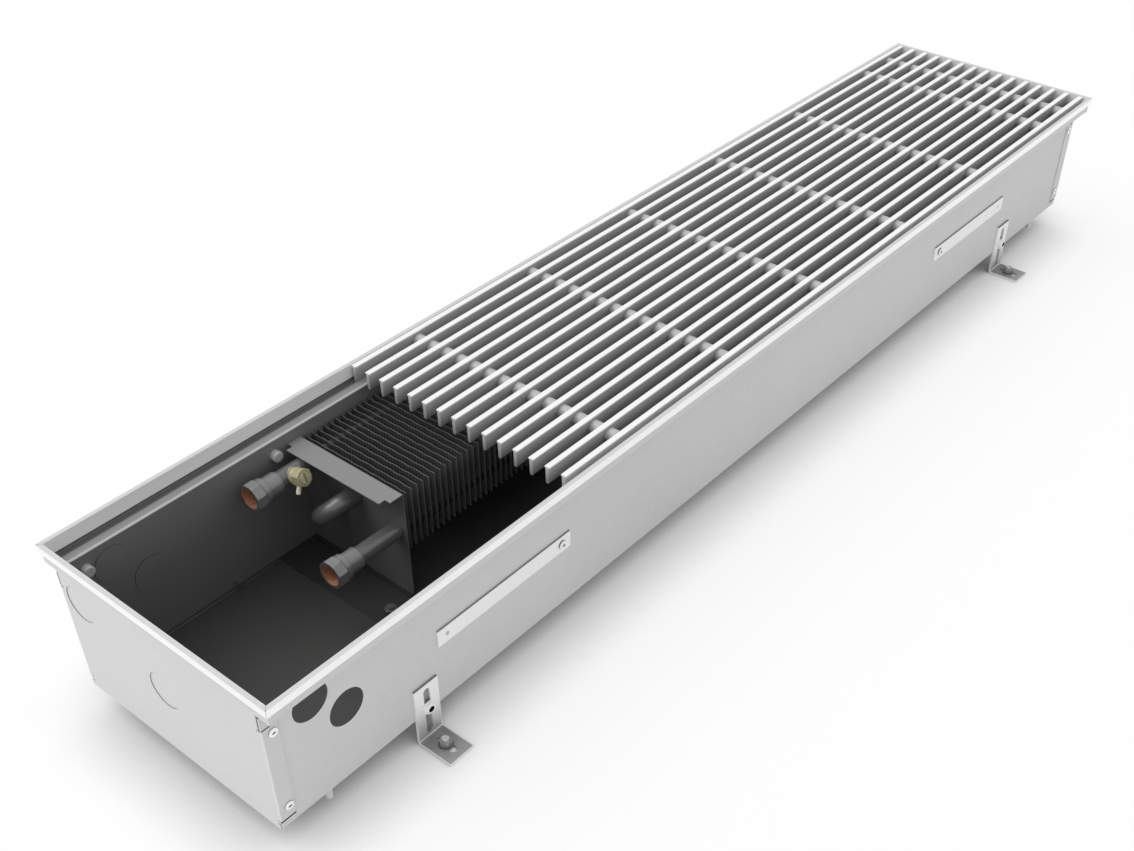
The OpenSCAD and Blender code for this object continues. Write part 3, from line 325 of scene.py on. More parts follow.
def ring_radius(shape, angle):
    # a number is a round ring; ("flats", n, across, cap) a prism whose corners are turned down to
    # cap; ("oval", a, b) an ellipse; ("cross", half width, half length) a cross recess
    if isinstance(shape, (int, float)):
        return shape
    if shape[0] == "oval":
        return shape[1] * shape[2] / math.hypot(shape[2] * math.cos(angle), shape[1] * math.sin(angle))
    if shape[0] == "cross":
        along, across = abs(math.cos(angle)) + 1e-9, abs(math.sin(angle)) + 1e-9
        return max(min(shape[1] / across, shape[2] / along), min(shape[1] / along, shape[2] / across))
    count, across, cap = shape[1:]
    step = 2 * math.pi / count
    turn = (angle + step / 2) % step - step / 2
    return min(across / 2 / math.cos(turn), cap)


def turned_mesh(name, rings, segments=48, closed=False, finish_of_ring=None):
    # rings of (height, shape) from one end to the other, joined by faces; a ring of radius 0 is a point
    form = bmesh.new()
    made = []
    for height, shape in rings:
        if shape == 0:
            made.append([form.verts.new((0, 0, height(0) if callable(height) else height))])
            continue
        loop = []
        for i in range(segments):
            angle = 2 * math.pi * i / segments
            radius = ring_radius(shape, angle)
            level = height(angle) if callable(height) else height
            loop.append(form.verts.new((radius * math.cos(angle), radius * math.sin(angle), level)))
        made.append(loop)
    pairs = list(zip(made, made[1:]))
    if closed:
        pairs.append((made[-1], made[0]))
    for number, (low, high) in enumerate(pairs):
        for i in range(segments):
            j = (i + 1) % segments
            corners = ([low[0], high[j], high[i]] if len(low) == 1 else
                       [low[i], low[j], high[0]] if len(high) == 1 else
                       [low[i], low[j], high[j], high[i]])
            face = form.faces.new(corners)
            if finish_of_ring:
                face.material_index = finish_of_ring[number]
    bmesh.ops.recalc_face_normals(form, faces=form.faces)
    mesh = bpy.data.meshes.new(name)
    form.to_mesh(mesh)
    form.free()
    return mesh


def add_piece(name, meshes_and_places, finishes, body, slot, *replaced, sharp_over=16):
    # one piece made of one or more meshes, each at its own place
    whole = bmesh.new()
    for mesh, matrix in meshes_and_places:
        part = bmesh.new()
        part.from_mesh(mesh)
        part.transform(matrix)
        if matrix.determinant() < 0:
            bmesh.ops.reverse_faces(part, faces=part.faces)
        moved = bpy.data.meshes.new(name + "_part")
        part.to_mesh(moved)
        part.free()
        whole.from_mesh(moved)
        bpy.data.meshes.remove(moved)
    mesh = bpy.data.meshes.new(name)
    whole.to_mesh(mesh)
    whole.free()
    mesh.shade_smooth()
    mesh.set_sharp_from_angle(angle=math.radians(sharp_over))
    for finish in finishes:
        mesh.materials.append(finish)
    piece = bpy.data.objects.new(name, mesh)
    bpy.context.scene.collection.objects.link(piece)
    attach(piece, body)
    if replaced:
        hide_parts(*replaced)
    return piece


rivet_finish = finish_with_grain("rivet aluminium", grey(246), grey(253), 0.3, 0.6, stretch=1.0,
                                 line_scale=700.0, cloud_scale=60.0)
# painted shade on the side of each rivet's rim and in its recess
rivet_shadow = finish_with_grain("rivet rim and recess", grey(84), grey(104), 0.5, stretch=1.0,
                                 line_scale=700.0, cloud_scale=60.0)
rivet = turned_mesh("rivet", [
    (0.0, rivet_r), (0.0004, rivet_r), (0.0009, rivet_r * 0.975), (0.0012, rivet_r * 0.9),
    (rivet_h, rivet_r * 0.78), (rivet_h, ("oval", 0.0018, 0.0008)), (0.0007, ("oval", 0.0016, 0.0007)),
    (0.0005, 0)], finish_of_ring=[1, 0, 0, 0, 0, 1, 1])
rivet_places = []
for end in (-1, 1):
    for side in (-1, 1):
        outward = Matrix.Rotation(-side * math.pi / 2, 4, "X")
        for level in (rivet_low.z + rivet_r, rivet_high.z - rivet_r):
            rivet_places.append((rivet, Matrix.Translation(
                (end * (rivet_high.x - rivet_r), side * (rivet_high.y - rivet_h), level)) @ outward))
add_piece("rivets", rivet_places, [rivet_finish, rivet_shadow], "trough", "rivet_metal", "corner_rivets")

# ---- Wall studs ----
# Two grey plastic studs pressed in the far wall beside the connections; they carry nothing here.
stud_low, stud_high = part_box("wall_studs")
stud_r = (stud_high.z - stud_low.z) / 2
stud_l = stud_high.y - stud_low.y
stud_finish = finish_with_grain("grey plastic stud", grey(176), grey(192), 0.5, stretch=1.0,
                                line_scale=500.0, cloud_scale=80.0)
stud = turned_mesh("stud", [
    (0.0, stud_r), (stud_l - 0.0011, stud_r), (stud_l - 0.0005, stud_r * 0.95),
    (stud_l - 0.0001, stud_r * 0.85), (stud_l, stud_r * 0.7), (stud_l, stud_r * 0.25),
    (stud_l - 0.0004, stud_r * 0.18), (stud_l - 0.0004, 0)])
add_piece("wall_stud_pair", [
    (stud, Matrix.Translation((at_x, stud_high.y, (stud_low.z + stud_high.z) / 2))
     @ Matrix.Rotation(math.pi / 2, 4, "X"))
    for at_x in (stud_low.x + stud_r, stud_high.x - stud_r)], [stud_finish], "trough", "stud_grey",
    "wall_studs")

# ---- Levelling screws ----
# Slotted steel studs in round nuts on the floor of the trough, turned from above to set it level.
leveller_finish = finish_with_grain("levelling screw steel", grey(206), grey(230), 0.4, 0.3, stretch=1.0,
                                    line_scale=600.0, cloud_scale=40.0, worn_and_lit_edge_colour=grey(240))
dark_steel = finish_with_grain("darkened steel", grey(62), grey(80), 0.42, 0.3, stretch=1.0,
                               line_scale=600.0, cloud_scale=60.0, worn_and_lit_edge_colour=grey(120))
coat_over_nut = finish_with_grain("wall coat over the insert nuts", grey(100, -0.01),
                                  grey(118, -0.01), 0.42, stretch=1.0, line_scale=600.0, cloud_scale=20.0)
for corner in ("near_left", "near_right", "far_left", "far_right"):
    give_finish(leveller_finish, "leveller_" + corner)
give_finish(dark_steel, "levelling_nuts")
give_finish(coat_over_nut, "bracket_nuts")

# ---- Floor plates, studs and nuts under the exchanger ----
# Thin dark steel plates under the feet of the end plates, each held by a steel stud and nut.
plate_floor_finish = finish_with_grain("dark floor plate", grey(47, 0.02), grey(57, 0.02), 0.42,
                                       stretch=0.6, line_scale=500.0, cloud_scale=12.0,
                                       worn_and_lit_edge_colour=grey(70))
nut_finish = finish_with_grain("dull plated steel", grey(92), grey(140), 0.34, 0.6, stretch=1.0,
                               line_scale=800.0, cloud_scale=50.0, worn_and_lit_edge_colour=grey(200),
                               edge_width=0.0004)
give_finish(plate_floor_finish, "floor_plates")
give_finish(nut_finish, "floor_studs", "floor_nuts")

# ---- End plates of the heat exchanger ----
# Folded steel plates in satin dark paint; the tubes pass through them, and their feet stand on the
# floor plates. The flange on top is lighter than the face, and the feet are painted darker as shade.
flange_from, foot_top = 0.1358, 0.0286
end_plate_finish, tree, shader = new_finish("satin end plate paint", 0.4)
x, y, z = position(tree)
colour, grain = grained(tree, grey(92), grey(106), stretch=0.8, line_scale=700.0, cloud_scale=20.0)
colour = blend_colours(tree, above(tree, z, flange_from), colour, grey(132))
colour = worn_and_lit_edges(tree, colour, grey(165), 0.0004)
# painted shade: the feet darker than the face
colour = blend_colours(tree, below(tree, z, foot_top), colour, grey(46))
surface(tree, shader, colour, grain, 0.4)
give_finish(end_plate_finish, "exchanger_plate_front", "exchanger_plate_rear")

# ---- Fins ----
# Thin aluminium fins, pressed on the tubes a few millimetres apart and coated black. Each sheet
# is corrugated, so its edges are wavy and all the fins nest in the same wave.
fin_low, fin_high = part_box("fins")
fin_thickness, fin_pitch = 0.0004, 0.0066
fin_count = round((fin_high.x - fin_low.x - fin_thickness) / fin_pitch) + 1
ripple, swell, sway = 0.0036, 0.018, 0.045
ripple_depth, swell_depth, sway_depth = 0.00017, 0.00028, 0.0001
tube_radius = 0.008
tube_places = ((0.092, 0.1255), (0.001, 0.094), (0.0485, 0.1075), (0.0725, 0.0835))


def wave_shift(y, z):
    return (ripple_depth * math.sin(2 * math.pi * y / ripple)
            + swell_depth * math.sin(2 * math.pi * y / swell)
            + sway_depth * math.sin(2 * math.pi * z / sway))


def single_fin():
    # a gridded slab with the tubes drilled through it, bent by the wave last
    columns, rows = 232, 6
    sheet = bmesh.new()
    grid = []
    for side in (0, 1):
        layer = [[sheet.verts.new((side * fin_thickness,
                                   fin_low.y + (fin_high.y - fin_low.y) * i / columns,
                                   fin_low.z + (fin_high.z - fin_low.z) * j / rows))
                  for j in range(rows + 1)] for i in range(columns + 1)]
        grid.append(layer)
    for i in range(columns):
        for j in range(rows):
            a, b = grid[0], grid[1]
            sheet.faces.new((a[i][j], a[i][j + 1], a[i + 1][j + 1], a[i + 1][j]))
            sheet.faces.new((b[i][j], b[i + 1][j], b[i + 1][j + 1], b[i][j + 1]))
    a, b = grid
    for i in range(columns):
        sheet.faces.new((a[i][0], a[i + 1][0], b[i + 1][0], b[i][0]))
        sheet.faces.new((a[i][rows], b[i][rows], b[i + 1][rows], a[i + 1][rows]))
    for j in range(rows):
        sheet.faces.new((a[0][j], b[0][j], b[0][j + 1], a[0][j + 1]))
        sheet.faces.new((a[columns][j], a[columns][j + 1], b[columns][j + 1], b[columns][j]))
    mesh = bpy.data.meshes.new("single_fin")
    sheet.to_mesh(mesh)
    sheet.free()
    fin = bpy.data.objects.new("single_fin", mesh)
    bpy.context.scene.collection.objects.link(fin)
    drills = bmesh.new()
    for y, z in tube_places:
        bmesh.ops.create_cone(drills, cap_ends=True, segments=40, radius1=tube_radius + 0.0001,
                              radius2=tube_radius + 0.0001, depth=0.01,
                              matrix=Matrix.Translation((0, y, z)) @ Matrix.Rotation(math.pi / 2, 4, "Y"))
    drill_mesh = bpy.data.meshes.new("tube_drills")
    drills.to_mesh(drill_mesh)
    drills.free()
    drill = bpy.data.objects.new("tube_drills", drill_mesh)
    bpy.context.scene.collection.objects.link(drill)
    cut = fin.modifiers.new("tube holes", "BOOLEAN")
    cut.operation = "DIFFERENCE"
    cut.solver = "EXACT"
    cut.object = drill
    holed = bpy.data.meshes.new_from_object(fin.evaluated_get(bpy.context.evaluated_depsgraph_get()))
    bpy.data.objects.remove(fin)
    bpy.data.objects.remove(drill)
    bent = bmesh.new()
    bent.from_mesh(holed)
    bmesh.ops.triangulate(bent, faces=[face for face in bent.faces if len(face.verts) > 4])
    for vertex in bent.verts:
        vertex.co.x += wave_shift(vertex.co.y, vertex.co.z)
    bent.to_mesh(holed)
    bent.free()
    return holed


one_fin = single_fin()
corners = [vertex.co.copy() for vertex in one_fin.vertices]
rings = [tuple(polygon.vertices) for polygon in one_fin.polygons]
all_corners, all_rings = [], []
for number in range(fin_count):
    shift = Vector((fin_low.x + number * fin_pitch, 0, 0))
    start = len(all_corners)
    all_corners.extend(corner + shift for corner in corners)
    all_rings.extend(tuple(start + index for index in ring) for ring in rings)
fin_mesh = bpy.data.meshes.new("wavy_fins")
fin_mesh.from_pydata(all_corners, [], all_rings)
fin_mesh.shade_flat()
wavy_fins = bpy.data.objects.new("wavy_fins", fin_mesh)
bpy.context.scene.collection.objects.link(wavy_fins)
fin_finish, tree, shader = new_finish("black fin coat", 0.5)
x, y, z = position(tree)
colour, grain = grained(tree, grey(60), grey(72), stretch=1.0, line_scale=500.0, cloud_scale=30.0)
# painted light: the fins' sides lighter near the near edge, below the top
near_side_light = both(tree, fade(tree, z, fin_high.z - 0.001, fin_high.z - 0.012),
                 fade(tree, y, fin_low.y + 0.02, fin_low.y + 0.004))
colour = blend_colours(tree, near_side_light, colour, grey(88))
# painted highlight on the fins' top edges and near edges, the near edges lighter towards the top
top_edge_highlight = above(tree, z, fin_high.z - 0.0006)
near_edge_highlight = both(tree, below(tree, y, fin_low.y + 0.0006), fade(tree, z, fin_low.z + 0.01, fin_high.z))
colour = blend_colours(tree, either(tree, top_edge_highlight, near_edge_highlight), colour, grey(104))
surface(tree, shader, colour, grain, 0.5)
fin_mesh.materials.append(fin_finish)
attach(wavy_fins, "trough")
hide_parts("fins")

# ---- Water tubes ----
# Two copper hairpins and a return bend, painted satin dark grey with the exchanger, so that the
# water passes through the fins four times. Between the fins they sit in the fins' black collars.
tube_finish, tree, shader = new_finish("satin tube paint", 0.34, 0.3)
x, y, z = position(tree)
colour, grain = grained(tree, grey(100), grey(114), stretch=0.3, line_scale=500.0, cloud_scale=25.0)
collars = between(tree, x, fin_low.x - 0.001, fin_high.x + 0.001)
colour = blend_colours(tree, collars, colour, grey(40))
surface(tree, shader, colour, grain, 0.34)
give_finish(tube_finish, "supply_hairpin", "return_hairpin", "return_bend")

# ---- Pipe fittings ----
# Half inch fittings soldered to the tubes: eight-sided grip, collar and sleeve, painted like the
# tubes, with a bare copper-coloured thread inside.
fitting_low, fitting_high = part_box("supply_fitting")
fitting_af, fitting_oct_l, fitting_collar_r, fitting_sleeve_r = 0.024, 0.0095, 0.01135, 0.0096
fitting_l = fitting_high.x - fitting_low.x
collar_end = fitting_oct_l + 0.006
thread_outer_r, thread_core_r, thread_l, thread_pitch = 0.01045, 0.0093, 0.012, 0.00155
grip = ("flats", 8, fitting_af)
fitting_rings = [
    (0.0, thread_core_r + 0.0001), (0.0, grip + (0.0123,)), (0.0004, grip + (0.0126,)),
    (0.0010, grip + (0.0129,)), (fitting_oct_l - 0.0008, grip + (0.0129,)),
    (fitting_oct_l - 0.0003, grip + (0.0126,)), (fitting_oct_l, grip + (0.0122,)),
    (fitting_oct_l, 0.0108), (fitting_oct_l + 0.0005, 0.0108), (fitting_oct_l + 0.0005, 0.0110),
    (fitting_oct_l + 0.0008, fitting_collar_r), (collar_end - 0.0004, fitting_collar_r),
    (collar_end, fitting_collar_r - 0.0004), (collar_end, fitting_sleeve_r + 0.0004),
    (collar_end + 0.0004, fitting_sleeve_r), (fitting_l - 0.0007, fitting_sleeve_r),
    (fitting_l - 0.0002, fitting_sleeve_r - 0.0002), (fitting_l, fitting_sleeve_r - 0.0006),
    (fitting_l, tube_radius), (thread_l + 0.002, tube_radius), (thread_l + 0.002, tube_radius - 0.001),
    (thread_l, tube_radius - 0.001), (thread_l, thread_core_r)]
painted = len(fitting_rings) - 1
turn_at = thread_l - 0.0004
while turn_at - thread_pitch > 0.0004:
    fitting_rings += [(turn_at, thread_core_r), (turn_at - thread_pitch * 0.35, thread_outer_r - 0.0002),
                      (turn_at - thread_pitch * 0.65, thread_outer_r - 0.0002)]
    turn_at -= thread_pitch
fitting_rings += [(turn_at, thread_core_r), (0.0001, thread_core_r)]
finish_of_ring = [0] * painted + [1] * (len(fitting_rings) - painted)
finish_of_ring[0] = 2
fitting_mesh = turned_mesh("fitting", fitting_rings, 96, True, finish_of_ring)
fitting_finish = finish_with_grain("satin fitting paint", grey(122), grey(134), 0.34, 0.3, stretch=1.0,
                                   line_scale=500.0, cloud_scale=50.0, line_depth=0.000003)
# painted shade: the front face of each fitting, in a darker copy of the fitting paint
front_shade_finish = finish_with_grain("darker fitting face", grey(84), grey(94), 0.4, 0.2, stretch=1.0,
                                 line_scale=300.0, cloud_scale=50.0, line_depth=0.000003)
thread_finish, tree, shader = new_finish("copper-coloured thread", 0.3, 0.45)
x, y, z = position(tree)
colour, grain = grained(tree, (0.55, 0.27, 0.17, 1), (0.66, 0.35, 0.24, 1), stretch=1.0, line_scale=300.0,
                        cloud_scale=60.0)
# painted highlight on one half of every turn of the thread
turn_highlight = calc(tree, "SINE", calc(tree, "MULTIPLY", x, 2 * math.pi / thread_pitch))
colour = blend_colours(tree, fade(tree, turn_highlight, 0.0, 0.8), colour, (0.92, 0.66, 0.52, 1))
surface(tree, shader, colour, grain, 0.3, line_depth=0.000003)
for name, tube_at in (("supply_fitting", tube_places[0]), ("return_fitting", tube_places[1])):
    place_of = Matrix.Translation((fitting_low.x, tube_at[0], tube_at[1])) @ Matrix.Rotation(
        math.pi / 2, 4, "Y")
    add_piece(name + "_detailed", [(fitting_mesh, place_of)], [fitting_finish, thread_finish,
                                                              front_shade_finish], "trough",
              "fitting_dark", name)

# ---- Air vent ----
# Small brass bleed valve on the supply tube, lacquered: round base, six-sided body, a slotted
# screw in its face, and a pale outlet nozzle that points down beside the tube.
vent_x, vent_tilt = -0.4185, math.radians(17.5)
vent_base_r, vent_base_top, vent_face, vent_af = 0.0078, 0.0125, 0.0213, 0.0146
vent_stem_bore_r, vent_stem_l = 0.00155, 0.006
nozzle_r, nozzle_bore_r, nozzle_end, nozzle_out = 0.002, 0.001, 0.0148, 0.0148
vent_place = Matrix.Translation((vent_x, tube_places[0][0], tube_places[0][1])) @ Matrix.Rotation(
    math.pi / 2 - vent_tilt, 4, "X")
nozzle_place = (vent_place @ Matrix.Translation((0, 0, nozzle_out)) @ Matrix.Rotation(
    math.radians(-30), 4, "Z") @ Matrix.Rotation(math.pi / 2, 4, "X"))


def saddle(angle):
    return math.sqrt(tube_radius ** 2 - (0.0070 * math.sin(angle)) ** 2) - 0.0001


six = ("flats", 6, vent_af)
vent_mesh = turned_mesh("vent_body", [
    (saddle, 0.0070), (0.0090, 0.0073), (0.0100, vent_base_r - 0.0001), (0.0112, vent_base_r),
    (0.0120, vent_base_r - 0.0002), (vent_base_top, vent_base_r - 0.0006),
    (vent_base_top, six + (0.0074,)), (vent_base_top + 0.0005, six + (0.0080,)),
    (vent_base_top + 0.0010, six + (0.0083,)), (vent_face - 0.0010, six + (0.0083,)),
    (vent_face - 0.0005, six + (0.0080,)), (vent_face, six + (0.0073,)),
    (vent_face, vent_stem_bore_r + 0.0002), (vent_face - 0.0003, vent_stem_bore_r),
    (vent_face - vent_stem_l, vent_stem_bore_r), (vent_face - vent_stem_l, 0)], 72)
nozzle_mesh = turned_mesh("nozzle", [
    (0.0044, 0), (0.0044, nozzle_r), (nozzle_end - 0.0010, nozzle_r),
    (nozzle_end - 0.0003, nozzle_r * 0.93),
    (nozzle_end, nozzle_r * 0.8), (nozzle_end, nozzle_bore_r), (nozzle_end - 0.004, nozzle_bore_r),
    (nozzle_end - 0.004, 0)])
vent_finish = finish_with_grain("lacquered brass", (0.40, 0.375, 0.22, 1), (0.52, 0.495, 0.32, 1),
                                0.36, 0.25, stretch=1.0, line_scale=700.0, cloud_scale=90.0,
                                worn_and_lit_edge_colour=(0.70, 0.67, 0.48, 1), edge_width=0.0002)
nozzle_finish = finish_with_grain("pale nozzle plastic", (0.80, 0.78, 0.60, 1), (0.88, 0.86, 0.70, 1), 0.45,
                                  stretch=1.0, line_scale=500.0, cloud_scale=90.0)
add_piece("vent_body_detailed", [(vent_mesh, vent_place)], [vent_finish], "trough", "vent_brass",
          "vent_body")
add_piece("vent_nozzle_detailed", [(nozzle_mesh, nozzle_place)], [nozzle_finish], "trough", "vent_brass",
          "vent_nozzle")
vent_screw_finish, tree, shader = new_finish("lacquered brass screw", 0.36, 0.25)
x, y, z = position(tree)
colour, grain = grained(tree, (0.50, 0.475, 0.30, 1), (0.62, 0.59, 0.40, 1), stretch=1.0, line_scale=700.0,
                        cloud_scale=90.0)
beside_tube = calc(tree, "SUBTRACT", y, tube_places[0][0])
over_tube = calc(tree, "SUBTRACT", z, tube_places[0][1])
out_of_tube = calc(tree, "ADD", calc(tree, "MULTIPLY", beside_tube, -math.cos(vent_tilt)),
                   calc(tree, "MULTIPLY", over_tube, math.sin(vent_tilt)))
# painted shade on the floor of the screw's slot
slot_floor_shade = below(tree, out_of_tube, vent_face + 0.0007)
colour = blend_colours(tree, slot_floor_shade, colour, (0.30, 0.28, 0.16, 1))
surface(tree, shader, worn_and_lit_edges(tree, colour, (0.85, 0.82, 0.62, 1), 0.0003), grain, 0.36)
give_finish(vent_screw_finish, "vent_screw")

# ---- Grille ----
# Lift-out grille of long aluminium bars, anodised matt silver, threaded on steel rods and held
# apart by spacer tubes. The webs are painted darker than the heads, darker still towards their feet, as
# shade between the bars.
bar_foot, bar_neck, head_from = 0.1488, 0.1630, 0.1636
bar_finish, tree, shader = new_finish("anodised grille bar", 0.4)
x, y, z = position(tree)
colour, grain = grained(tree, grey(240), grey(250), stretch=0.04, line_scale=1500.0, cloud_scale=18.0)
# painted shade between the bars: the webs darker towards their feet
shaded_web = blend_colours(tree, fade(tree, z, bar_foot, bar_neck), grey(140), grey(206))
colour = blend_colours(tree, below(tree, z, head_from), colour, shaded_web)
surface(tree, shader, worn_and_lit_edges(tree, colour, grey(250), 0.0003), grain, 0.4)
spacer_finish = finish_with_grain("spacer tube", grey(176), grey(194), 0.42, stretch=1.0,
                                  line_scale=500.0, cloud_scale=40.0)
rod_finish = finish_with_grain("bright plated steel", grey(176), grey(214), 0.3, 0.75, stretch=1.0,
                               line_scale=800.0, cloud_scale=50.0, worn_and_lit_edge_colour=grey(246))
give_finish(bar_finish, "grille_bars")
give_finish(spacer_finish, "grille_spacers")
give_finish(rod_finish, "grille_rods")

# ---- Brackets and anchors ----
# Bent steel angles, zinc plated, clamped to the walls by a bolt in the upright slot and held to
# the floor of the house by an anchor, washer and nut in the slot of the foot.
rim_w, foot_from, bend_highlight_z = 0.0004, 0.118, (0.0024, 0.0036)
bracket_finish, tree, shader = new_finish("plated bracket steel", 0.36, 0.3)
x, y, z = position(tree)
bracket_low, bracket_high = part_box("bracket_near_left")
bracket_x = -(bracket_low.x + bracket_high.x) / 2
bracket_half_w, foot_tip = (bracket_high.x - bracket_low.x) / 2, -bracket_low.y
out_y = calc(tree, "ABSOLUTE", y)
colour, grain = grained(tree, grey(246), grey(253), stretch=1.0, line_scale=500.0, cloud_scale=22.0)
from_middle = calc(tree, "ABSOLUTE", calc(tree, "SUBTRACT", calc(tree, "ABSOLUTE", x), bracket_x))
# painted highlight on the rims and along the bend, painted shade on the upright towards the bend and on the
# foot near the wall; the top edge face is painted dark grey
rim = either(tree, above(tree, from_middle, bracket_half_w - rim_w), above(tree, out_y, foot_tip - rim_w))
shaded_foot_colour = blend_colours(tree, fade(tree, out_y, foot_from, foot_tip), grey(150), grey(186))
colour = blend_colours(tree, fade(tree, z, 0.034, 0.004), colour, grey(186))
colour = blend_colours(tree, between(tree, z, *bend_highlight_z), colour, grey(254))
colour = blend_colours(tree, below(tree, z, bend_highlight_z[0]), colour, shaded_foot_colour)
colour = blend_colours(tree, rim, colour, grey(253))
colour = blend_colours(tree, above(tree, z, bracket_high.z - 0.0001), colour, grey(140))
surface(tree, shader, colour, grain, 0.36)
anchor_finish = finish_with_grain("plated anchor stud", grey(214), grey(232), 0.24, 0.5, stretch=1.0,
                                  line_scale=300.0, cloud_scale=50.0, line_depth=0.000003)
anchor_nut_finish = finish_with_grain("dull anchor nut", grey(150), grey(166), 0.3, 0.4, stretch=1.0,
                                      line_scale=300.0, cloud_scale=50.0, line_depth=0.000003)
anchor_washer_finish = finish_with_grain("dull anchor washer", grey(112), grey(126), 0.34, 0.3, stretch=1.0,
                                         line_scale=300.0, cloud_scale=50.0, line_depth=0.000003)
bolt_finish = finish_with_grain("white bolt coat", grey(251), grey(254), 0.4, 0.15, stretch=1.0,
                                line_scale=300.0, cloud_scale=50.0, line_depth=0.000003)
# painted shade in the bolts' sockets, in the screws' cross recesses and on the screw heads' rims
recess_and_rim_shade = finish_with_grain("dark socket", grey(30), grey(44), 0.4, 0.3, stretch=1.0,
                                  line_scale=800.0, cloud_scale=50.0)
for corner in ("near_left", "near_right", "far_left", "far_right"):
    give_finish(bracket_finish, "bracket_" + corner)
    give_finish(anchor_finish, "anchor_stud_" + corner)
    give_finish(anchor_nut_finish, "anchor_nut_" + corner)
    give_finish(anchor_washer_finish, "anchor_washer_" + corner)
give_finish(bolt_finish, "bracket_washers")
bolt_low, bolt_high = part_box("bracket_bolts")
wall_face, bolt_r, head_r, bolt_from, head_from, head_to = 0.114, 0.003, 0.00525, -0.004, 0.0034, 0.0062
socket = ("flats", 6, 0.0056, 0.004)
bolt = turned_mesh("bolt", [
    (bolt_from, 0), (bolt_from, bolt_r), (head_from, bolt_r), (head_from, head_r), (0.0048, head_r),
    (0.0056, head_r * 0.95), (0.0060, head_r * 0.86), (head_to, head_r * 0.72), (head_to, socket),
    (0.0042, socket), (0.0040, 0)], 60, finish_of_ring=[2, 2, 0, 0, 0, 0, 0, 0, 1, 1])
add_piece("bolts", [
    (bolt, Matrix.Translation((end * (bolt_high.x - head_r), side * wall_face,
                               (bolt_low.z + bolt_high.z) / 2))
     @ Matrix.Rotation(-side * math.pi / 2, 4, "X")) for end in (-1, 1) for side in (-1, 1)],
    [bolt_finish, recess_and_rim_shade, coat_over_nut], "trough", "bright_steel", "bracket_bolts")

# ---- Straps ----
# Flat strips, coated white, each on one screw in the wall and free at the other end.
strap_finish, tree, shader = new_finish("white strap coat", 0.34)
x, y, z = position(tree)
strap_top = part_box("strap_near_left")[1].z
colour, grain = grained(tree, grey(250), grey(254), stretch=0.2, line_scale=700.0, cloud_scale=16.0)
# painted shade on the strap's top edge face
colour = blend_colours(tree, above(tree, z, strap_top - 0.0001), colour, grey(150))
surface(tree, shader, colour, grain, 0.34)
for corner in ("near_left", "near_right", "far_left", "far_right"):
    give_finish(strap_finish, "strap_" + corner)
screw_low, screw_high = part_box("strap_screws")
screw_head_r, screw_shank_r, screw_from, screw_head, screw_top = 0.0038, 0.00205, -0.002, 0.0017, 0.0039
cross = ("cross", 0.0005, 0.0017)
strap_screw = turned_mesh("strap_screw", [
    (screw_from, 0), (screw_from, screw_shank_r), (screw_head, screw_shank_r), (screw_head, screw_head_r),
    (0.0026, screw_head_r), (0.0033, screw_head_r * 0.95), (0.0037, screw_head_r * 0.86),
    (screw_top, screw_head_r * 0.72), (screw_top, cross), (0.0027, cross), (0.0026, 0)], 96,
    finish_of_ring=[2, 2, 1, 1, 0, 0, 0, 0, 1, 1])
add_piece("strap_screw_heads", [
    (strap_screw, Matrix.Translation((end * (screw_high.x - screw_head_r), side * wall_face,
                                      (screw_low.z + screw_high.z) / 2))
     @ Matrix.Rotation(-side * math.pi / 2, 4, "X")) for end in (-1, 1) for side in (-1, 1)],
    [bolt_finish, recess_and_rim_shade, coat_over_nut], "trough", "rivet_metal", "strap_screws")

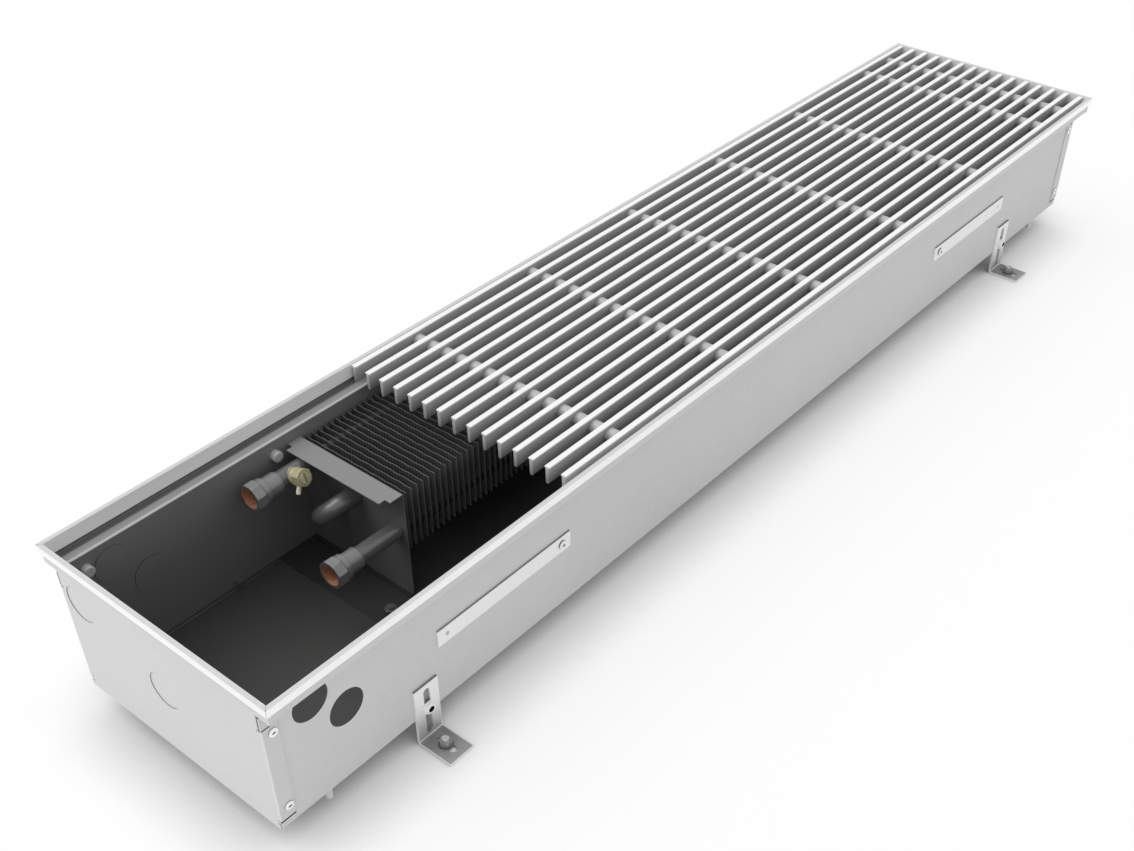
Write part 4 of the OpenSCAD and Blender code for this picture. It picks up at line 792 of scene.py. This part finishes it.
# ---- Studio ----
# Plain white floor, even white surroundings, one wide soft lamp from above and behind, and the
# camera of the photograph. Seen by the camera, the floor's shadow is only a faint one.
floor_mesh = bpy.data.meshes.new("studio_floor")
sheet = bmesh.new()
bmesh.ops.create_grid(sheet, x_segments=1, y_segments=1, size=30.0)
sheet.to_mesh(floor_mesh)
sheet.free()
studio_floor = bpy.data.objects.new("studio_floor", floor_mesh)
bpy.context.scene.collection.objects.link(studio_floor)
floor_finish, tree, shader = new_finish("studio floor", 0.9)
mottle = shade_node(tree, "ShaderNodeTexNoise",
                    {"Vector": shade_node(tree, "ShaderNodeTexCoord").outputs["Object"], "Scale": 3.0})
tree.links.new(blend_colours(tree, mottle.outputs["Fac"], grey(250), grey(252)),
               shader.inputs["Base Color"])
shader.inputs["Specular IOR Level"].default_value = 0.0
rays = shade_node(tree, "ShaderNodeLightPath")
seen = calc(tree, "MAXIMUM", rays.outputs["Is Camera Ray"],
            calc(tree, "MAXIMUM", rays.outputs["Is Glossy Ray"], rays.outputs["Is Transmission Ray"]))
near_shade = shade_node(tree, "ShaderNodeAmbientOcclusion", {"Distance": 0.08}, samples=16)
white = shade_node(tree, "ShaderNodeEmission", {
    "Color": (1, 1, 1, 1), "Strength": fade(tree, near_shade.outputs["AO"], 0.1, 0.93)})
lightened = shade_node(tree, "ShaderNodeMixShader", {
    0: calc(tree, "MULTIPLY", seen, 0.8), 1: shader.outputs[0], 2: white.outputs[0]})
tree.links.new(lightened.outputs[0], tree.nodes["Material Output"].inputs["Surface"])
floor_mesh.materials.append(floor_finish)

world = bpy.data.worlds.new("white surroundings")
world.use_nodes = True
bpy.context.scene.world = world
tree = world.node_tree
sky = tree.nodes["Background"]
sky.inputs["Color"].default_value = (1, 1, 1, 1)
rays = shade_node(tree, "ShaderNodeLightPath")
seen = calc(tree, "MAXIMUM", rays.outputs["Is Camera Ray"],
            calc(tree, "MAXIMUM", rays.outputs["Is Glossy Ray"], rays.outputs["Is Transmission Ray"]))
tree.links.new(fade(tree, seen, 0, 1, 0.66, 1.0), sky.inputs["Strength"])

lamp = bpy.data.lights.new("soft lamp", "SUN")
lamp.energy = 1.35
lamp.angle = math.radians(50)
lamp_object = bpy.data.objects.new("soft lamp", lamp)
lamp_object.rotation_euler = Vector((-0.4, 0.5, 0.9)).to_track_quat("Z", "Y").to_euler()
bpy.context.scene.collection.objects.link(lamp_object)

lens = bpy.data.cameras.new("photograph")
lens.lens = 44.455
lens.sensor_width = 36.0
lens.shift_x = -0.02147
lens.shift_y = 0.1035
lens.clip_start = 0.01
camera = bpy.data.objects.new("photograph", lens)
camera.location = (-0.96327, -0.68735, 0.84670)
camera.rotation_euler = (0.85543, 0.0, -0.8775)
bpy.context.scene.collection.objects.link(camera)
bpy.context.scene.camera = camera
bpy.context.scene.view_settings.view_transform = "Standard"
